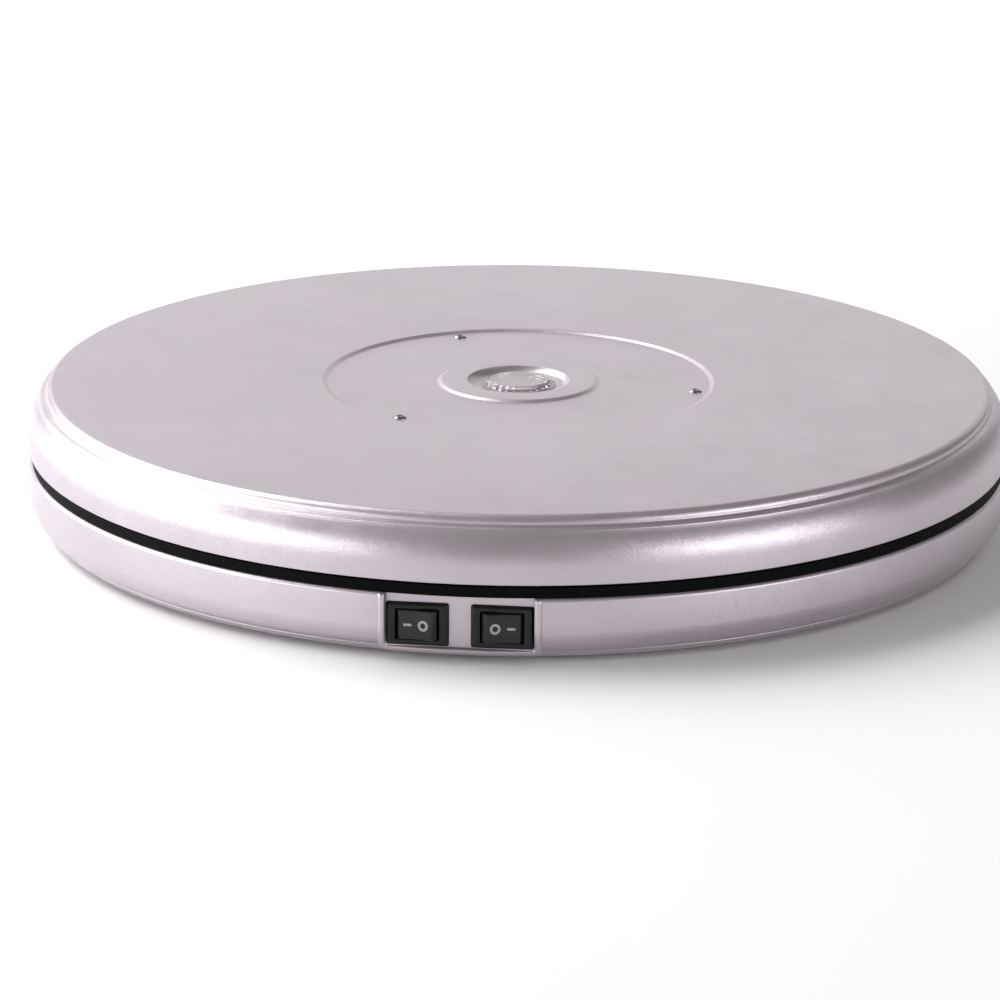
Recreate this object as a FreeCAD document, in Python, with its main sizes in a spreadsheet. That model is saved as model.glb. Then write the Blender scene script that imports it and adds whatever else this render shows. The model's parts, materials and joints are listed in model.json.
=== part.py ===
import FreeCAD, Part
import math
import os
import re
import Sketcher
from fcgear import fcgear, involute

# Electric display turntable. Millimetres, +Z up, origin on the ground under the platter's axis.
# The switch pocket faces -Y and the mains inlet faces +Y.

DIMENSIONS = [
    # clearances that several pieces share
    ("overlap", 1.0, "how far a cutter or a joined shape runs past a surface"),
    ("seat_gap", 0.1, "a piece in its opening"),
    ("hole_gap", 0.2, "a screw in its clearance hole"),
    ("cover_gap", 0.3, "bottom cover to the shell's plates and to screw heads"),
    ("screw_end_gap", 0.2, "a screw's end to the bottom of its hole"),
    # overall
    ("platter_radius", 175.0, "largest radius of platter and base"),
    ("total_height", 50.0, "ground to the platter's plateau"),
    # base
    ("foot_height", 2.0, "clear height under the bottom cover"),
    ("cover_top", 4.2, "joint line between bottom cover and base shell"),
    ("cover_low_radius", 169.4, "bottom cover at its lower edge"),
    ("cover_top_radius", 170.8, "bottom cover at the joint line"),
    ("base_low_radius", 171.1, "base shell at the joint line"),
    ("base_bulge_radius", 9.6, "arc that tapers the base wall inwards"),
    ("base_inner_bulge", 9.0, "the same taper on the inside of the wall"),
    ("base_straight_low", 12.0, "height where the base wall becomes straight"),
    ("base_top", 23.4, "top of the deck"),
    ("base_edge_round", 1.2, "rounding of the base's top edge"),
    ("base_wall", 2.6, "thickness of the base wall"),
    ("deck_thickness", 2.5, "thickness of the deck"),
    ("deck_hole_radius", 8.0, "lead hole in the middle of the deck"),
    ("post_circle", 158.0, "circle of the cover screws"),
    ("post_radius", 4.5, "screw post under the deck"),
    ("pilot_radius", 1.3, "pilot hole of a self-tapping screw"),
    ("cover_pilot_depth", 10.0, "pilot hole of a cover screw"),
    ("cover_screw_reach", 8.0, "cover screw above the joint line"),
    ("head_seat", 1.0, "depth of a cover screw's seat"),
    ("head_inset", 0.1, "cover screw's head inside the cover"),
    ("cover_rim_radius", 168.1, "outside of the cover's locating rim"),
    ("cover_rim_inner", 166.1, "inside of the cover's locating rim"),
    ("cover_rim_height", 1.5, "cover's locating rim"),
    ("foot_circle", 148.0, "circle of the rubber feet"),
    ("foot_radius", 9.0, "rubber foot"),
    ("foot_round", 0.8, "rounding of a foot's edge"),
    ("foot_recess", 0.8, "depth of a foot's seat in the cover"),
    # switch pocket
    ("panel_plane", 171.0, "flat face of the pocket, from the axis"),
    ("panel_back", 168.2, "back of the pocket plate, from the axis"),
    ("panel_half_width", 27.2, "outside of the lip"),
    ("lip_width", 2.4, "width of the lip"),
    ("lip_rise", 0.9, "how far the lip stands out from the base wall"),
    ("lip_low", 2.5, "lowest edge of the lip"),
    ("lip_low_radius", 170.0, "lip at its lowest edge"),
    ("lip_back_radius", 169.4, "inside of the lip, within the pocket plate"),
    ("lip_corner", 3.6, "outer corner of the lip"),
    ("pocket_corner", 1.0, "inner corner of the lip"),
    ("pocket_reach", 8.0, "depth of the cutter in front of the pocket"),
    ("switch_offset", 14.1, "switch centre from the middle of the pocket"),
    ("switch_height", 12.8, "height of the switches' middle"),
    # rocker switch
    ("bezel_width", 21.0, "switch bezel"),
    ("bezel_height", 14.8, "switch bezel"),
    ("bezel_thickness", 1.5, "switch bezel"),
    ("housing_width", 18.8, "switch body"),
    ("housing_height", 12.6, "switch body"),
    ("housing_depth", 12.4, "switch body behind the bezel"),
    ("rocker_opening", 14.6, "width of the bezel's opening"),
    ("rocker_slot", 10.6, "height of the bezel's opening"),
    ("rocker_cavity", 10.0, "depth of the opening from the bezel's face"),
    ("rocker_face_width", 11.2, "rocker across its face"),
    ("rocker_width", 13.8, "rocker at its widest, below the slanted ends"),
    ("rocker_foot_width", 12.6, "rocker at its lower end"),
    ("rocker_height", 10.0, "rocker along its pivot"),
    ("rocker_end_rise", 1.3, "end of the face above the bezel, at mid throw"),
    ("rocker_mid_rise", 0.7, "middle of the face above the bezel"),
    ("rocker_side_drop", 0.6, "widest place below the bezel's face"),
    ("rocker_depth", 5.0, "rocker below the bezel's face"),
    ("rocker_tilt", 9.0, "half of the rocker's throw, degrees"),
    ("pivot_depth", 1.8, "pivot below the bezel's face"),
    ("pivot_radius", 1.0, "pivot pin"),
    ("pivot_reach", 5.95, "end of the pivot pin from the rocker's middle"),
    ("pivot_gap", 0.06, "running clearance of the pivot"),
    ("blade_width", 0.8, "switch blade"),
    ("blade_height", 4.8, "switch blade"),
    ("blade_length", 7.0, "switch blade"),
    ("blade_offset", 4.6, "switch blade from the switch's middle"),
    # mains inlet
    ("inlet_plane", 171.4, "flat wall behind the inlet's flange, from the axis"),
    ("inlet_wall_margin", 4.0, "flat wall beyond the inlet's flange"),
    ("inlet_gap", 0.4, "inlet flange in its seat"),
    ("inlet_plate_back", 168.2, "inside of that wall, from the axis"),
    ("inlet_half_width", 13.5, "inlet flange"),
    ("inlet_half_height", 7.0, "inlet flange"),
    ("inlet_flange", 1.8, "inlet flange thickness"),
    ("inlet_body_width", 22.0, "inlet body"),
    ("inlet_body_height", 11.4, "inlet body"),
    ("inlet_body_depth", 15.0, "inlet body behind the flange"),
    ("socket_radius", 3.9, "end radius of the figure-8 mouth"),
    ("socket_offset", 3.7, "centre of the mouth's ends from the middle"),
    ("socket_depth", 11.0, "depth of the mouth"),
    ("pin_radius", 1.18, "contact pin"),
    ("pin_offset", 4.3, "contact pin from the middle"),
    ("pin_recess", 2.0, "contact pin end behind the flange's face"),
    ("pin_tail", 6.0, "contact pin behind the body"),
    # gap ring
    ("ring_radius", 173.9, "black ring between base and platter"),
    ("ring_seat_radius", 166.0, "inside of the ring's foot"),
    ("ring_foot", 1.6, "thickness of the ring's foot"),
    ("ring_step", 27.2, "top of the ring's visible band"),
    ("ring_lip_radius", 171.6, "ring's lip inside the skirt"),
    ("ring_lip_thickness", 1.6, "ring's lip"),
    ("ring_lip_top", 32.0, "top of the ring's lip"),
    # platter
    ("skirt_low", 28.0, "lower edge of the skirt"),
    ("skirt_wall", 2.4, "thickness of the skirt"),
    ("skirt_round", 0.4, "rounding of the skirt's edge"),
    ("skirt_straight", 34.0, "height where the side starts to curve in"),
    ("inner_straight", 35.5, "height where the skirt's inside starts to lean in"),
    ("side_arc", 18.0, "radius of the side's curve"),
    ("shoulder_radius", 170.9, "side at the shoulder"),
    ("shoulder_height", 45.4, "side at the shoulder"),
    ("ledge_radius", 170.2, "shoulder rounding, inner end"),
    ("ledge_height", 46.15, "shoulder rounding, inner end"),
    ("shoulder_round", 0.9, "shoulder rounding"),
    ("groove_radius", 169.4, "outer end of the rim groove"),
    ("groove_height", 46.4, "outer end of the rim groove"),
    ("groove_round", 0.9, "rim groove"),
    ("edge_radius", 168.7, "outside of the plateau"),
    ("edge_low", 47.3, "lower end of the plateau's rounding"),
    ("plateau_radius", 166.1, "flat part of the plateau"),
    ("edge_round", 2.65, "rounding of the plateau"),
    ("plate_low", 47.0, "underside of the platter plate"),
    ("inner_knee_radius", 169.0, "inside of the side wall"),
    ("inner_knee_height", 43.2, "inside of the side wall"),
    ("plate_edge_radius", 165.2, "edge of the plate's flat underside"),
    ("recess_depth", 0.9, "ring recess in the plateau"),
    ("recess_outer", 69.7, "ring recess, outer edge"),
    ("recess_inner", 27.8, "ring recess, boss edge"),
    ("recess_slope", 1.1, "run of the recess walls"),
    ("well_radius", 18.4, "lens well at the plateau"),
    ("well_floor_radius", 15.6, "lens well at its floor"),
    ("well_depth", 2.0, "lens well"),
    ("well_round", 3.2, "curve of the well's wall"),
    ("lens_hole_radius", 12.1, "hole through the platter plate"),
    ("track_inner", 144.0, "roller track under the platter"),
    ("track_outer", 156.0, "roller track under the platter"),
    ("track_low", 44.5, "running surface of the roller track"),
    ("rib_start", 84.0, "radial rib under the plate"),
    ("rib_width", 2.0, "radial rib"),
    ("rib_low", 44.5, "radial rib"),
    ("rib_count", 12, "radial ribs"),
    # lens
    ("lens_flange_radius", 13.5, "lens flange"),
    ("lens_flange", 0.5, "lens flange thickness"),
    ("lens_top_radius", 10.4, "flat top of the lens"),
    ("lens_rise", 0.0, "lens above the plateau"),
    ("lens_low", 44.2, "underside of the lens"),
    ("lens_ring_radius", 14.6, "rubber ring that holds the lens"),
    ("lens_ring_low", 45.4, "rubber ring that holds the lens"),
    # drive
    ("gear_module", 1.25, "module of the gear pair"),
    ("gear_teeth", 126, "teeth of the drive gear"),
    ("pinion_teeth", 18, "teeth of the pinion"),
    ("pressure_angle", 20.0, "degrees"),
    ("profile_shift", -0.05, "thins the teeth for backlash"),
    ("gear_low", 29.0, "underside of the teeth"),
    ("gear_top", 36.0, "top of the gear web"),
    ("web_low", 33.0, "underside of the gear web"),
    ("rim_inner", 73.5, "inside of the toothed rim"),
    ("hub_radius", 35.5, "gear hub outside"),
    ("hub_low", 28.0, "gear hub"),
    ("hub_top", 44.0, "gear hub"),
    ("fit_gap", 0.05, "running clearance on a shaft"),
    ("screw_circle", 64.0, "circle of the platter screws"),
    ("boss_radius", 5.0, "gear boss under a platter screw"),
    ("screw_radius", 1.5, "M3 screw shank"),
    ("platter_screws_turn", -4.0, "angle of the first platter screw, degrees"),
    ("screw_head_radius", 2.3, "pan head"),
    ("screw_head", 0.8, "pan head height in the recess"),
    ("platter_pilot_low", 38.5, "bottom of a platter screw's hole"),
    ("platter_screw_low", 39.0, "lower end of a platter screw"),
    # spindle and bearing
    ("spindle_radius", 30.0, "spindle journal"),
    ("spindle_bore", 25.0, "inside of the spindle"),
    ("spindle_floor", 26.0, "floor inside the spindle"),
    ("spindle_flange_radius", 39.0, "spindle flange"),
    ("spindle_flange", 2.0, "spindle flange thickness"),
    ("spindle_top", 45.6, "top of the spindle"),
    ("spindle_post_low", 15.5, "lower end of a spindle post"),
    ("spindle_pilot_low", 16.5, "bottom of a spindle screw's hole"),
    ("spindle_screw_low", 17.5, "lower end of a spindle screw"),
    ("spindle_screw_circle", 34.5, "spindle screws"),
    ("clip_low", 44.3, "groove of the hub clip"),
    ("clip_thickness", 1.0, "hub clip"),
    ("clip_groove_radius", 28.6, "bottom of the clip groove"),
    ("clip_radius", 33.0, "outside of the hub clip"),
    ("clip_gap", 8.0, "mouth of the hub clip"),
    ("race_inner", 42.0, "bearing washers"),
    ("race_outer", 56.0, "bearing washers"),
    ("race_thickness", 3.0, "bearing washers"),
    ("ball_circle", 49.0, "ball circle"),
    ("ball_radius", 3.0, "bearing ball"),
    ("ball_count", 18, "bearing balls"),
    ("race_gap", 0.1, "groove radius over ball radius"),
    ("ball_height", 28.2, "height of the ball centres"),
    ("cage_inner", 44.6, "ball cage"),
    ("cage_outer", 53.4, "ball cage"),
    ("cage_thickness", 1.8, "ball cage"),
    # motor
    ("motor_offset", 90.0, "centre distance of the gear pair"),
    ("motor_radius", 24.5, "motor can"),
    ("motor_low", 6.0, "bottom of the motor can"),
    ("motor_top", 19.9, "top of the motor can"),
    ("can_wall", 0.8, "sheet of the motor can"),
    ("ear_spacing", 58.0, "motor fixing holes"),
    ("ear_radius", 5.0, "motor ear"),
    ("shaft_radius", 3.5, "output shaft"),
    ("shaft_flat", 2.5, "flat of the output shaft from its axis"),
    ("shaft_low", 13.0, "lower end of the output shaft"),
    ("shaft_top", 37.2, "upper end of the output shaft"),
    ("flat_low", 24.0, "lower end of the output shaft's flat"),
    ("shaft_hole_radius", 5.5, "deck hole around the shaft"),
    ("pinion_low", 28.4, "underside of the pinion"),
    ("pinion_top", 36.6, "top of the pinion"),
    ("pinion_hub_radius", 7.0, "collar under the pinion"),
    ("pinion_hub_low", 25.0, "collar under the pinion"),
    ("motor_boss_top", 27.0, "screw boss on the deck"),
    ("blind_wall", 0.8, "wall left over a motor boss's hole"),
    ("coil_inner", 9.0, "motor coil"),
    ("coil_outer", 22.5, "motor coil"),
    ("coil_top", 12.5, "motor coil"),
    ("terminal_rise", 1.0, "motor terminal block above the can's floor"),
    ("terminal_width", 14.0, "motor terminal block"),
    ("terminal_depth", 6.0, "motor terminal block"),
    ("terminal_height", 7.0, "motor terminal block"),
    # rim rollers
    ("roller_count", 6, "rollers under the rim"),
    ("roller_first", 30.0, "angle of the first roller, degrees"),
    ("roller_circle", 150.0, "middle of the rollers"),
    ("roller_radius", 7.5, "roller"),
    ("roller_width", 8.0, "roller"),
    ("roller_chamfer", 0.6, "chamfer of a roller's tread"),
    ("roller_gap", 0.3, "roller to track"),
    ("axle_radius", 1.5, "roller axle"),
    ("axle_reach", 9.5, "half length of an axle"),
    ("bracket_reach", 10.0, "half length of a bracket"),
    ("bracket_wall", 4.5, "upright of a bracket"),
    ("bracket_base", 3.0, "base of a bracket"),
    ("bracket_top", 40.0, "top of a bracket"),
    ("bracket_pilot_depth", 9.0, "hole of a bracket screw above the deck"),
    ("bracket_screw_reach", 8.0, "bracket screw above the deck"),
    ("bracket_width", 12.0, "bracket across the roller"),
    # screws from below
    ("head_radius", 2.7, "pan head of an M3 screw"),
    ("head_height", 1.6, "pan head of an M3 screw"),
    # lamp
    ("board_radius", 21.0, "lamp board"),
    ("board_thickness", 1.6, "lamp board"),
    ("lamp_radius", 4.5, "lamp base"),
    ("lamp_base", 1.4, "lamp base"),
    ("lamp_dome", 3.2, "radius of the lamp's dome"),
    ("lamp_screw_circle", 17.0, "lamp board screws"),
    ("reflector_low_radius", 6.0, "throat of the reflector"),
    ("reflector_top_radius", 22.0, "mouth of the reflector"),
    ("reflector_low", 28.2, "lower end of the reflector's neck"),
    ("reflector_neck", 2.0, "straight neck of the reflector"),
    ("reflector_top", 42.5, "mouth of the reflector"),
    ("reflector_wall", 1.2, "reflector"),
    # lamp supply
    ("driver_x", 84.0, "centre of the driver board"),
    ("driver_y", -40.0, "centre of the driver board"),
    ("driver_length", 46.0, "driver board"),
    ("driver_width", 30.0, "driver board"),
    ("driver_top", 15.5, "upper face of the driver board"),
    ("driver_hole_x", 19.0, "driver board screw from its middle"),
    ("driver_hole_y", 11.0, "driver board screw from its middle"),
    ("driver_post_radius", 3.0, "post of the driver board"),
    ("driver_pilot_depth", 4.0, "hole of a driver screw"),
    ("driver_screw_reach", 3.5, "driver screw above the board"),
    ("capacitor_end", 4.0, "end of the capacitor from the board's middle"),
    ("rectifier_start", 9.0, "near side of the rectifier from the board's middle"),
    ("capacitor_length", 17.0, "capacitor"),
    ("capacitor_width", 8.0, "capacitor"),
    ("capacitor_height", 7.5, "capacitor"),
    ("rectifier_size", 8.0, "rectifier"),
    ("rectifier_height", 3.0, "rectifier"),
    # leads
    ("lead_radius", 1.2, "insulated lead"),
    ("lead_rest", 0.2, "lead above the bottom cover"),
    ("lead_exit", 14.0, "straight run of a lead from its terminal"),
    ("lamp_lead_level", 9.5, "lamp lead where it crosses the base"),
]

# places that the leads pass on the bottom cover: x, y and how much higher than the cover
LINE_ROUTE = [(-26, 122, 1), (-52, 92, 0), (-62, 45, 0), (-60, -10, 0), (-50, -62, 0), (-34, -105, 1)]
MOTOR_ROUTE = [(38, -100, 1), (52, -52, 0), (55, 0, 0), (52, 52, 0), (40, 96, 0), (27, 124, 1)]
LAMP_ROUTE = [(32, -22), (14, -7)]

DOC = FreeCAD.newDocument("Turntable")
SHEET = DOC.addObject("Spreadsheet::Sheet", "Dims")
for row, (alias, number, meaning) in enumerate(DIMENSIONS, start=1):
    SHEET.set(f"A{row}", str(number))
    SHEET.setAlias(f"A{row}", alias)
    SHEET.set(f"B{row}", meaning)
DOC.recompute()

ALIASES = {alias for alias, _, _ in DIMENSIONS}
MOTOR_HOLES = [("-ear_spacing / 2", "motor_offset"), ("ear_spacing / 2", "motor_offset")]
DRIVER_HOLES = [
    ("driver_x - driver_hole_x", "driver_y - driver_hole_y"),
    ("driver_x + driver_hole_x", "driver_y + driver_hole_y"),
]
BRACKET_SCREW_CIRCLE = "(roller_circle + bracket_reach - bracket_wall / 2)"
NODES = []


# ---------------------------------------------------------------- expressions and sketches


def bound(text):
    """Turn words of the sheet into references to it."""
    return re.sub(r"[a-z_]+", lambda word: f"Dims.{word[0]}" if word[0] in ALIASES else word[0], str(text))


def value(text):
    """The number that an expression gives."""
    result = SHEET.evalExpression(bound(text))
    return float(getattr(result, "Value", result))


def bind(item, **sizes):
    """Bind an object's properties to expressions; Length=..., and so on."""
    for name, text in sizes.items():
        item.setExpression(name, bound(text))


def place(item, x="0", y="0", z="0", turn="0"):
    """Bind an object's Placement: a position and a turn about Z in degrees."""
    item.setExpression("Placement.Base.x", bound(x))
    item.setExpression("Placement.Base.y", bound(y))
    item.setExpression("Placement.Base.z", bound(z))
    item.setExpression("Placement.Rotation.Angle", bound(turn))


def origin_part(body, role):
    return next(item for item in body.Origin.OriginFeatures if item.Role == role)


def arc_between(start, end, radius):
    """Short arc from start to end; a positive radius bends left. Returns it and whether it is reversed."""
    chord = end - start
    left = FreeCAD.Vector(-chord.y, chord.x, 0).normalize()
    rise = math.sqrt(max(radius * radius - chord.Length * chord.Length / 4, 0))
    centre = (start + end) * 0.5 + left * math.copysign(rise, radius)
    first, last = (start, end) if radius > 0 else (end, start)
    angles = [math.atan2(point.y - centre.y, point.x - centre.x) for point in (first, last)]
    circle = Part.Circle(centre, FreeCAD.Vector(0, 0, 1), abs(radius))
    return Part.ArcOfCircle(circle, angles[0], angles[1]), radius < 0


def draw_outline(sketch, points):
    """Closed outline of (x, y) points; a third value is the radius of the arc that leaves the point."""
    corners = [FreeCAD.Vector(value(point[0]), value(point[1]), 0) for point in points]
    count = len(points)
    ends = []
    for index, point in enumerate(points):
        start = corners[index]
        end = corners[(index + 1) % count]
        if len(point) == 3:
            curve, backwards = arc_between(start, end, value(point[2]))
        else:
            curve, backwards = Part.LineSegment(start, end), False
        line = sketch.addGeometry(curve)
        ends.append((line, 2, 1) if backwards else (line, 1, 2))
    for index, point in enumerate(points):
        line, first, last = ends[index]
        following, next_first, _ = ends[(index + 1) % count]
        sketch.addConstraint(Sketcher.Constraint("Coincident", line, last, following, next_first))
        fix_point(sketch, line, first, point, corners[index])
        if len(point) == 3:
            radius = Sketcher.Constraint("Radius", line, abs(value(point[2])))
            number = sketch.addConstraint(radius)
            sketch.setExpression(f"Constraints[{number}]", bound(f"abs({point[2]})"))


def fix_point(sketch, line, end, point, corner):
    """Hold one end of a line at a point by distances from the origin."""
    for kind, text, number, axis in (
        ("DistanceX", point[0], corner.x, -2),
        ("DistanceY", point[1], corner.y, -1),
    ):
        if abs(number) < 1e-9:
            sketch.addConstraint(Sketcher.Constraint("PointOnObject", line, end, axis))
        else:
            datum = sketch.addConstraint(Sketcher.Constraint(kind, -1, 1, line, end, number))
            sketch.setExpression(f"Constraints[{datum}]", bound(text))


def new_sketch(body, role, offset="0"):
    """Sketch on one of the body's own origin planes, moved along the plane's normal."""
    sketch = body.newObject("Sketcher::SketchObject", f"{body.Name}_outline")
    sketch.AttachmentSupport = [(origin_part(body, role), "")]
    sketch.MapMode = "FlatFace"
    sketch.setExpression("AttachmentOffset.Base.z", bound(offset))
    return sketch


# ---------------------------------------------------------------- ways of making a piece


def new_body(label):
    body = DOC.addObject("PartDesign::Body", label)
    body.Label = label
    return body


def repeat_round(body, feature, count):
    """Repeat a feature round the Z axis."""
    pattern = body.newObject("PartDesign::PolarPattern", f"{body.Name}_pattern")
    pattern.Originals = [feature]
    pattern.Axis = (origin_part(body, "Z_Axis"), [""])
    pattern.Angle = 360
    bind(pattern, Occurrences=count)
    body.Tip = pattern
    return pattern


def turned(label, points, count=None, axis=None, level=None):
    """Revolve a profile in XZ about Z, about an upright line at x = axis, or about a flat line
    at z = level; count repeats it round Z."""
    body = new_body(label)
    sketch = new_sketch(body, "XZ_Plane")
    draw_outline(sketch, points)
    reference = "V_Axis"
    if axis is not None:
        draw_axis(sketch, (axis, "0"), (axis, "total_height"))
        reference = "Axis0"
    if level is not None:
        draw_axis(sketch, ("0", level), ("total_height", level))
        reference = "Axis0"
    revolution = body.newObject("PartDesign::Revolution", f"{body.Name}_turn")
    revolution.Profile = sketch
    revolution.ReferenceAxis = (sketch, [reference])
    revolution.Angle = 360
    if count is not None:
        repeat_round(body, revolution, count)
    return body


def draw_axis(sketch, low, high):
    """Construction line that a profile is revolved about."""
    ends = [FreeCAD.Vector(value(point[0]), value(point[1]), 0) for point in (low, high)]
    line = sketch.addGeometry(Part.LineSegment(ends[0], ends[1]), True)
    fix_point(sketch, line, 1, low, ends[0])
    fix_point(sketch, line, 2, high, ends[1])


def padded(label, role, points, length, offset="0", centred=False, count=None):
    """Pad an outline drawn on an origin plane; count repeats it round Z."""
    body = new_body(label)
    sketch = new_sketch(body, role, offset)
    draw_outline(sketch, points)
    pad = body.newObject("PartDesign::Pad", f"{body.Name}_pad")
    pad.Profile = sketch
    if centred:
        pad.SideType = "Symmetric"
    bind(pad, Length=length)
    if count is not None:
        repeat_round(body, pad, count)
    return body


def box(name, x, y, z):
    """Box between pairs of bounds, each pair (low, high)."""
    item = DOC.addObject("Part::Box", name)
    bind(
        item,
        Length=f"({x[1]}) - ({x[0]})",
        Width=f"({y[1]}) - ({y[0]})",
        Height=f"({z[1]}) - ({z[0]})",
    )
    place(item, x[0], y[0], z[0])
    return item


def rod(name, radius, low, high, x="0", y="0"):
    """Upright cylinder between two heights."""
    item = DOC.addObject("Part::Cylinder", name)
    bind(item, Radius=radius, Height=f"({high}) - ({low})")
    place(item, x, y, low)
    return item


def rod_along_y(name, radius, low, high, x, z):
    """Cylinder along Y between two places."""
    item = DOC.addObject("Part::Cylinder", name)
    bind(item, Radius=radius, Height=f"({high}) - ({low})")
    item.Placement.Rotation = FreeCAD.Rotation(FreeCAD.Vector(1, 0, 0), -90)
    item.setExpression("Placement.Base.x", bound(x))
    item.setExpression("Placement.Base.y", bound(low))
    item.setExpression("Placement.Base.z", bound(z))
    return item


def fuse(label, items):
    item = DOC.addObject("Part::MultiFuse", label)
    item.Label = label
    item.Shapes = items
    return item


def cut(label, base, tools):
    """Cut one or several tools from a base."""
    tool = tools[0] if len(tools) == 1 else fuse(f"{label}_tools", tools)
    item = DOC.addObject("Part::Cut", label)
    item.Label = label
    item.Base = base
    item.Tool = tool
    return item


def common(label, base, tool):
    item = DOC.addObject("Part::Common", label)
    item.Base = base
    item.Tool = tool
    return item


def group(label, items):
    """Separate solids that share one node."""
    item = DOC.addObject("Part::Compound", label)
    item.Label = label
    item.Links = items
    return item


def node(item):
    """Mark an object as a sub-part of the turntable."""
    NODES.append(item)
    return item


def stepped(centre, steps):
    """Profile of round steps beside an upright line: (radius, low, high) from bottom to top."""
    points = [(centre, steps[0][1])]
    for radius, low, high in steps:
        points.append((f"{centre} + {radius}", low))
        points.append((f"{centre} + {radius}", high))
    points.append((centre, steps[-1][2]))
    return points


def stepped_set(label, circle, steps, count):
    """Equal round pieces on a circle, such as screws, posts and holes."""
    return turned(label, stepped(circle, steps), count=count, axis=circle)


# ---------------------------------------------------------------- base


def base_outline(rise="0"):
    """Outer wall of the base from the joint line up, moved outwards by rise."""
    return [
        (f"base_low_radius + {rise}", "cover_top", f"base_bulge_radius + {rise}"),
        (f"platter_radius + {rise}", "base_straight_low"),
    ]


def make_base_shell():
    deck_under = "base_top - deck_thickness"
    blank = turned(
        "shell_blank",
        base_outline()
        + [
            ("platter_radius", "base_top - base_edge_round", "base_edge_round"),
            ("platter_radius - base_edge_round", "base_top"),
            ("deck_hole_radius", "base_top"),
            ("deck_hole_radius", deck_under),
            ("platter_radius - base_wall", deck_under),
            ("platter_radius - base_wall", "base_straight_low", "-base_inner_bulge"),
            ("base_low_radius - base_wall", "cover_top"),
        ],
    )
    added = [blank] + make_pocket_blank() + make_deck_posts(deck_under)
    holes = make_pocket_cutters() + make_deck_holes(deck_under)
    return node(cut("base_shell", fuse("shell_body", added), holes))


def make_pocket_blank():
    """Plate of the switch pocket, its lip, and the plate behind the mains inlet."""
    plate = box(
        "pocket_plate",
        ("-panel_half_width", "panel_half_width"),
        ("-panel_plane", "-panel_back"),
        ("lip_low + lip_corner", "base_top"),
    )
    lip_blank = turned(
        "lip_blank",
        [
            ("lip_back_radius", "lip_low"),
            ("lip_low_radius", "lip_low", "base_bulge_radius + lip_rise"),
            ("platter_radius + lip_rise", "base_straight_low"),
            ("platter_radius + lip_rise", "base_top"),
            ("lip_back_radius", "base_top"),
        ],
    )
    lip_outline = padded(
        "lip_outline",
        "XZ_Plane",
        rounded_slot("panel_half_width", "lip_low", "base_top", "lip_corner"),
        "pocket_reach",
        offset="panel_back",
    )
    inlet_plate = box(
        "inlet_plate",
        ("-inlet_half_width - inlet_wall_margin", "inlet_half_width + inlet_wall_margin"),
        ("inlet_plate_back", "inlet_plane"),
        ("cover_top", "base_top"),
    )
    return [plate, common("lip", lip_blank, lip_outline), inlet_plate]


def rounded_slot(half_width, low, high, corner):
    """Outline with two rounded lower corners and an open, square top."""
    return [
        (f"-{half_width}", high),
        (f"-{half_width}", f"{low} + {corner}", corner),
        (f"-{half_width} + {corner}", low),
        (f"{half_width} - {corner}", low, corner),
        (half_width, f"{low} + {corner}"),
        (half_width, high),
    ]


def make_pocket_cutters():
    pocket = padded(
        "pocket_cutter",
        "XZ_Plane",
        rounded_slot(
            "(panel_half_width - lip_width)",
            "(lip_low + lip_width)",
            "(base_top + overlap)",
            "pocket_corner",
        ),
        "pocket_reach",
        offset="panel_plane",
    )
    inlet_pocket = box(
        "inlet_pocket",
        ("-inlet_half_width - inlet_gap", "inlet_half_width + inlet_gap"),
        ("inlet_plane", "inlet_plane + pocket_reach"),
        ("switch_height - inlet_half_height - inlet_gap", "switch_height + inlet_half_height + inlet_gap"),
    )
    half_width = "(inlet_body_width / 2 + seat_gap)"
    half_height = "(inlet_body_height / 2 + seat_gap)"
    inlet_hole = box(
        "inlet_hole",
        (f"-{half_width}", half_width),
        ("inlet_plate_back - overlap", "inlet_plane"),
        (f"switch_height - {half_height}", f"switch_height + {half_height}"),
    )
    half_width = "(housing_width / 2 + seat_gap)"
    half_height = "(housing_height / 2 + seat_gap)"
    switch_holes = [
        box(
            f"switch_hole_{side}",
            (f"{sign}switch_offset - {half_width}", f"{sign}switch_offset + {half_width}"),
            ("-panel_plane", "-panel_back + overlap"),
            (f"switch_height - {half_height}", f"switch_height + {half_height}"),
        )
        for side, sign in (("left", "-"), ("right", ""))
    ]
    return [pocket, inlet_pocket, inlet_hole] + switch_holes


def make_deck_posts(deck_under):
    cover_posts = stepped_set(
        "cover_posts", "post_circle", [("post_radius", "cover_top", deck_under)], "roller_count"
    )
    spindle_posts = stepped_set(
        "spindle_posts",
        "spindle_screw_circle",
        [("post_radius", "spindle_post_low", deck_under)],
        "3",
    )
    motor_bosses = [
        rod(f"motor_boss_{index}", "post_radius", "base_top", "motor_boss_top", x, y)
        for index, (x, y) in enumerate(MOTOR_HOLES)
    ]
    driver_posts = [
        rod(f"driver_post_{index}", "driver_post_radius", "driver_top", deck_under, x, y)
        for index, (x, y) in enumerate(DRIVER_HOLES)
    ]
    return [cover_posts, spindle_posts] + motor_bosses + driver_posts


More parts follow.
